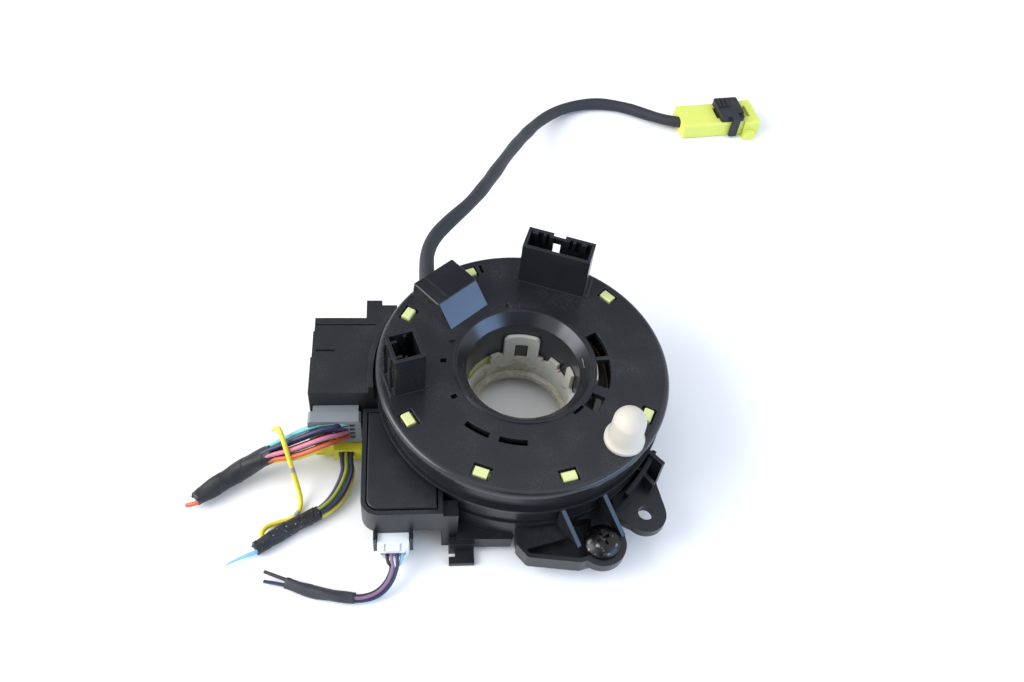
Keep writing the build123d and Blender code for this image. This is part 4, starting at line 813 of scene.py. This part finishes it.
main_wires = [
    Wire("teal", main_cavity(5, 3), 12), Wire("navy", main_cavity(4, 3), 11),
    Wire("pink", main_cavity(5, 1), 11),
    Wire("orange", main_cavity(5, 0), beyond=((-118.4, -33.6, 2.4),)),
    Wire("yellow", main_cavity(3, 0), 12), Wire("green", main_cavity(2, 0), 11),
    Wire("red", main_cavity(4, 0), 12), Wire("white", main_cavity(3, 1), 12),
    Wire("grey", main_cavity(3, 2), 12), Wire("maroon", main_cavity(4, 1), 11),
    Wire("violet", main_cavity(5, 2), 12)]
harness("main", main_wires, bundle_places(2, 9, main_wire, radians(45)), main_wire,
        main_route, solid="main_harness", wrapped_in=main_tape, leave=(-1.4, -3.4, 0.2),
        twist=0.10, spread=1.35, free=0.5, lean=(0, 1.5, 3.0))

# %% [markdown]
# The airbag harness drops from the yellow plug and turns away over the table. Its worn tape
# ends in one sky blue wire that was cut at a slant, so its tip runs out thin.

# %% The airbag harness
pair_wire = 1.45 * MM
pair_wires = [
    Wire("violet", (-65.2, -12.0, 6.1), 4), Wire("olive", (-63.5, -12.0, 6.1), 3),
    Wire("navy", (-61.8, -12.0, 6.1), 4), Wire("yellow", (-61.8, -12.0, 4.3), 3),
    Wire("sky", (-63.5, -12.0, 4.3), beyond=((-97.8, -53.4, 1.8), (-102.8, -55.8, 1.0)),
         pointed=True),
    Wire("black", (-65.2, -12.0, 4.3), 4), Wire("grey", (-63.4, -12.0, 5.2), 5)]
harness("pair", pair_wires, bundle_places(1, 6, pair_wire, radians(20)), pair_wire,
        pair_route, solid="airbag_harness", wrapped_in=pair_tape, leave=(0, -6.4, 0.2),
        twist=-0.5, spread=0.55, free=0.57, lean=(0, 0, 0))

# %% [markdown]
# The sensor harness has four thin wires from the white plug. They twist more than the
# others on their way into a woven sleeve, and two of them come out of its end.

# %% The sensor harness
sensor_wire = 1.2 * MM
sensor_wires = [
    Wire("mauve", (-46.9, -55.0, 7.9), 12),
    Wire("navy", (-44.9, -55.0, 7.9), beyond=((-89.6, -62.4, 1.6),)),
    Wire("sky", (-43.2, -55.0, 7.2), 14),
    Wire("black", (-48.4, -55.0, 7.2), beyond=((-89.6, -59.0, 1.8),))]
harness("sensor", sensor_wires, bundle_places(0, 4, sensor_wire, radians(60)), sensor_wire,
        sensor_route[:-1], solid="sensor_harness", wrapped_in=sensor_sleeve,
        leave=(0, -4.0, -0.4), twist=1.4, spread=0.3, free=0.5, lean=(0, 0, 0))

# %% [markdown]
# One yellow wire has come free of the taped bundle. It lies along the tape, climbs over the
# main harness in a loop and comes down behind it. It crosses other cords, so it has a route
# of its own. Two grey marks show where it was clamped.

# %% The loose yellow wire
spare_diameter = 1.7 * MM
clamp_marks = (19.0, 36.0)
spare_route = np.array([
    (-91.0, -49.4, 3.4), (-91.9, -45.4, 3.0), (-90.2, -42.0, 1.6), (-86.6, -40.2, 0.95),
    (-82.4, -39.2, 0.95), (-79.5, -36.3, 0.95), (-78.9, -32.0, 1.8), (-80.6, -27.4, 6.6),
    (-82.6, -22.8, 13.2), (-84.4, -18.6, 19.2), (-86.2, -13.6, 19.4), (-87.6, -9.6, 14.6),
    (-89.4, -6.2, 8.6), (-91.0, -3.4, 3.6)]) * MM
spare_line = spaced(smooth_line(spare_route), count=220)
spare = tube("spare_yellow_wire", spare_line, spare_diameter / 2, wire_sides)
spare_finish = wire_finish("spare wire", wire_colours["yellow"], clamp_marks)
dress(spare, spare_finish, "base")
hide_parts("spare_wire")

# %% [markdown]
# The part stands on a plain pale floor. It is wide enough for its edges to stay far off.

# %% The floor
def make_floor(size):
    """Flat square floor at the height of the part's seat."""
    half = size / 2
    mesh = bpy.data.meshes.new("floor")
    outline = [(-half, -half, 0), (half, -half, 0), (half, half, 0), (-half, half, 0)]
    mesh.from_pydata(outline, [], [(0, 1, 2, 3)])
    mesh.materials.append(moulding("white sweep", rgb(0.93, 0.93, 0.93), roughness=0.6,
                                   grain=0.0, dust=0.0, tone=0.0, edge=0.0))
    floor = bpy.data.objects.new("floor", mesh)
    scene.collection.objects.link(floor)


make_floor(8.0)
print("floor 8 m wide")
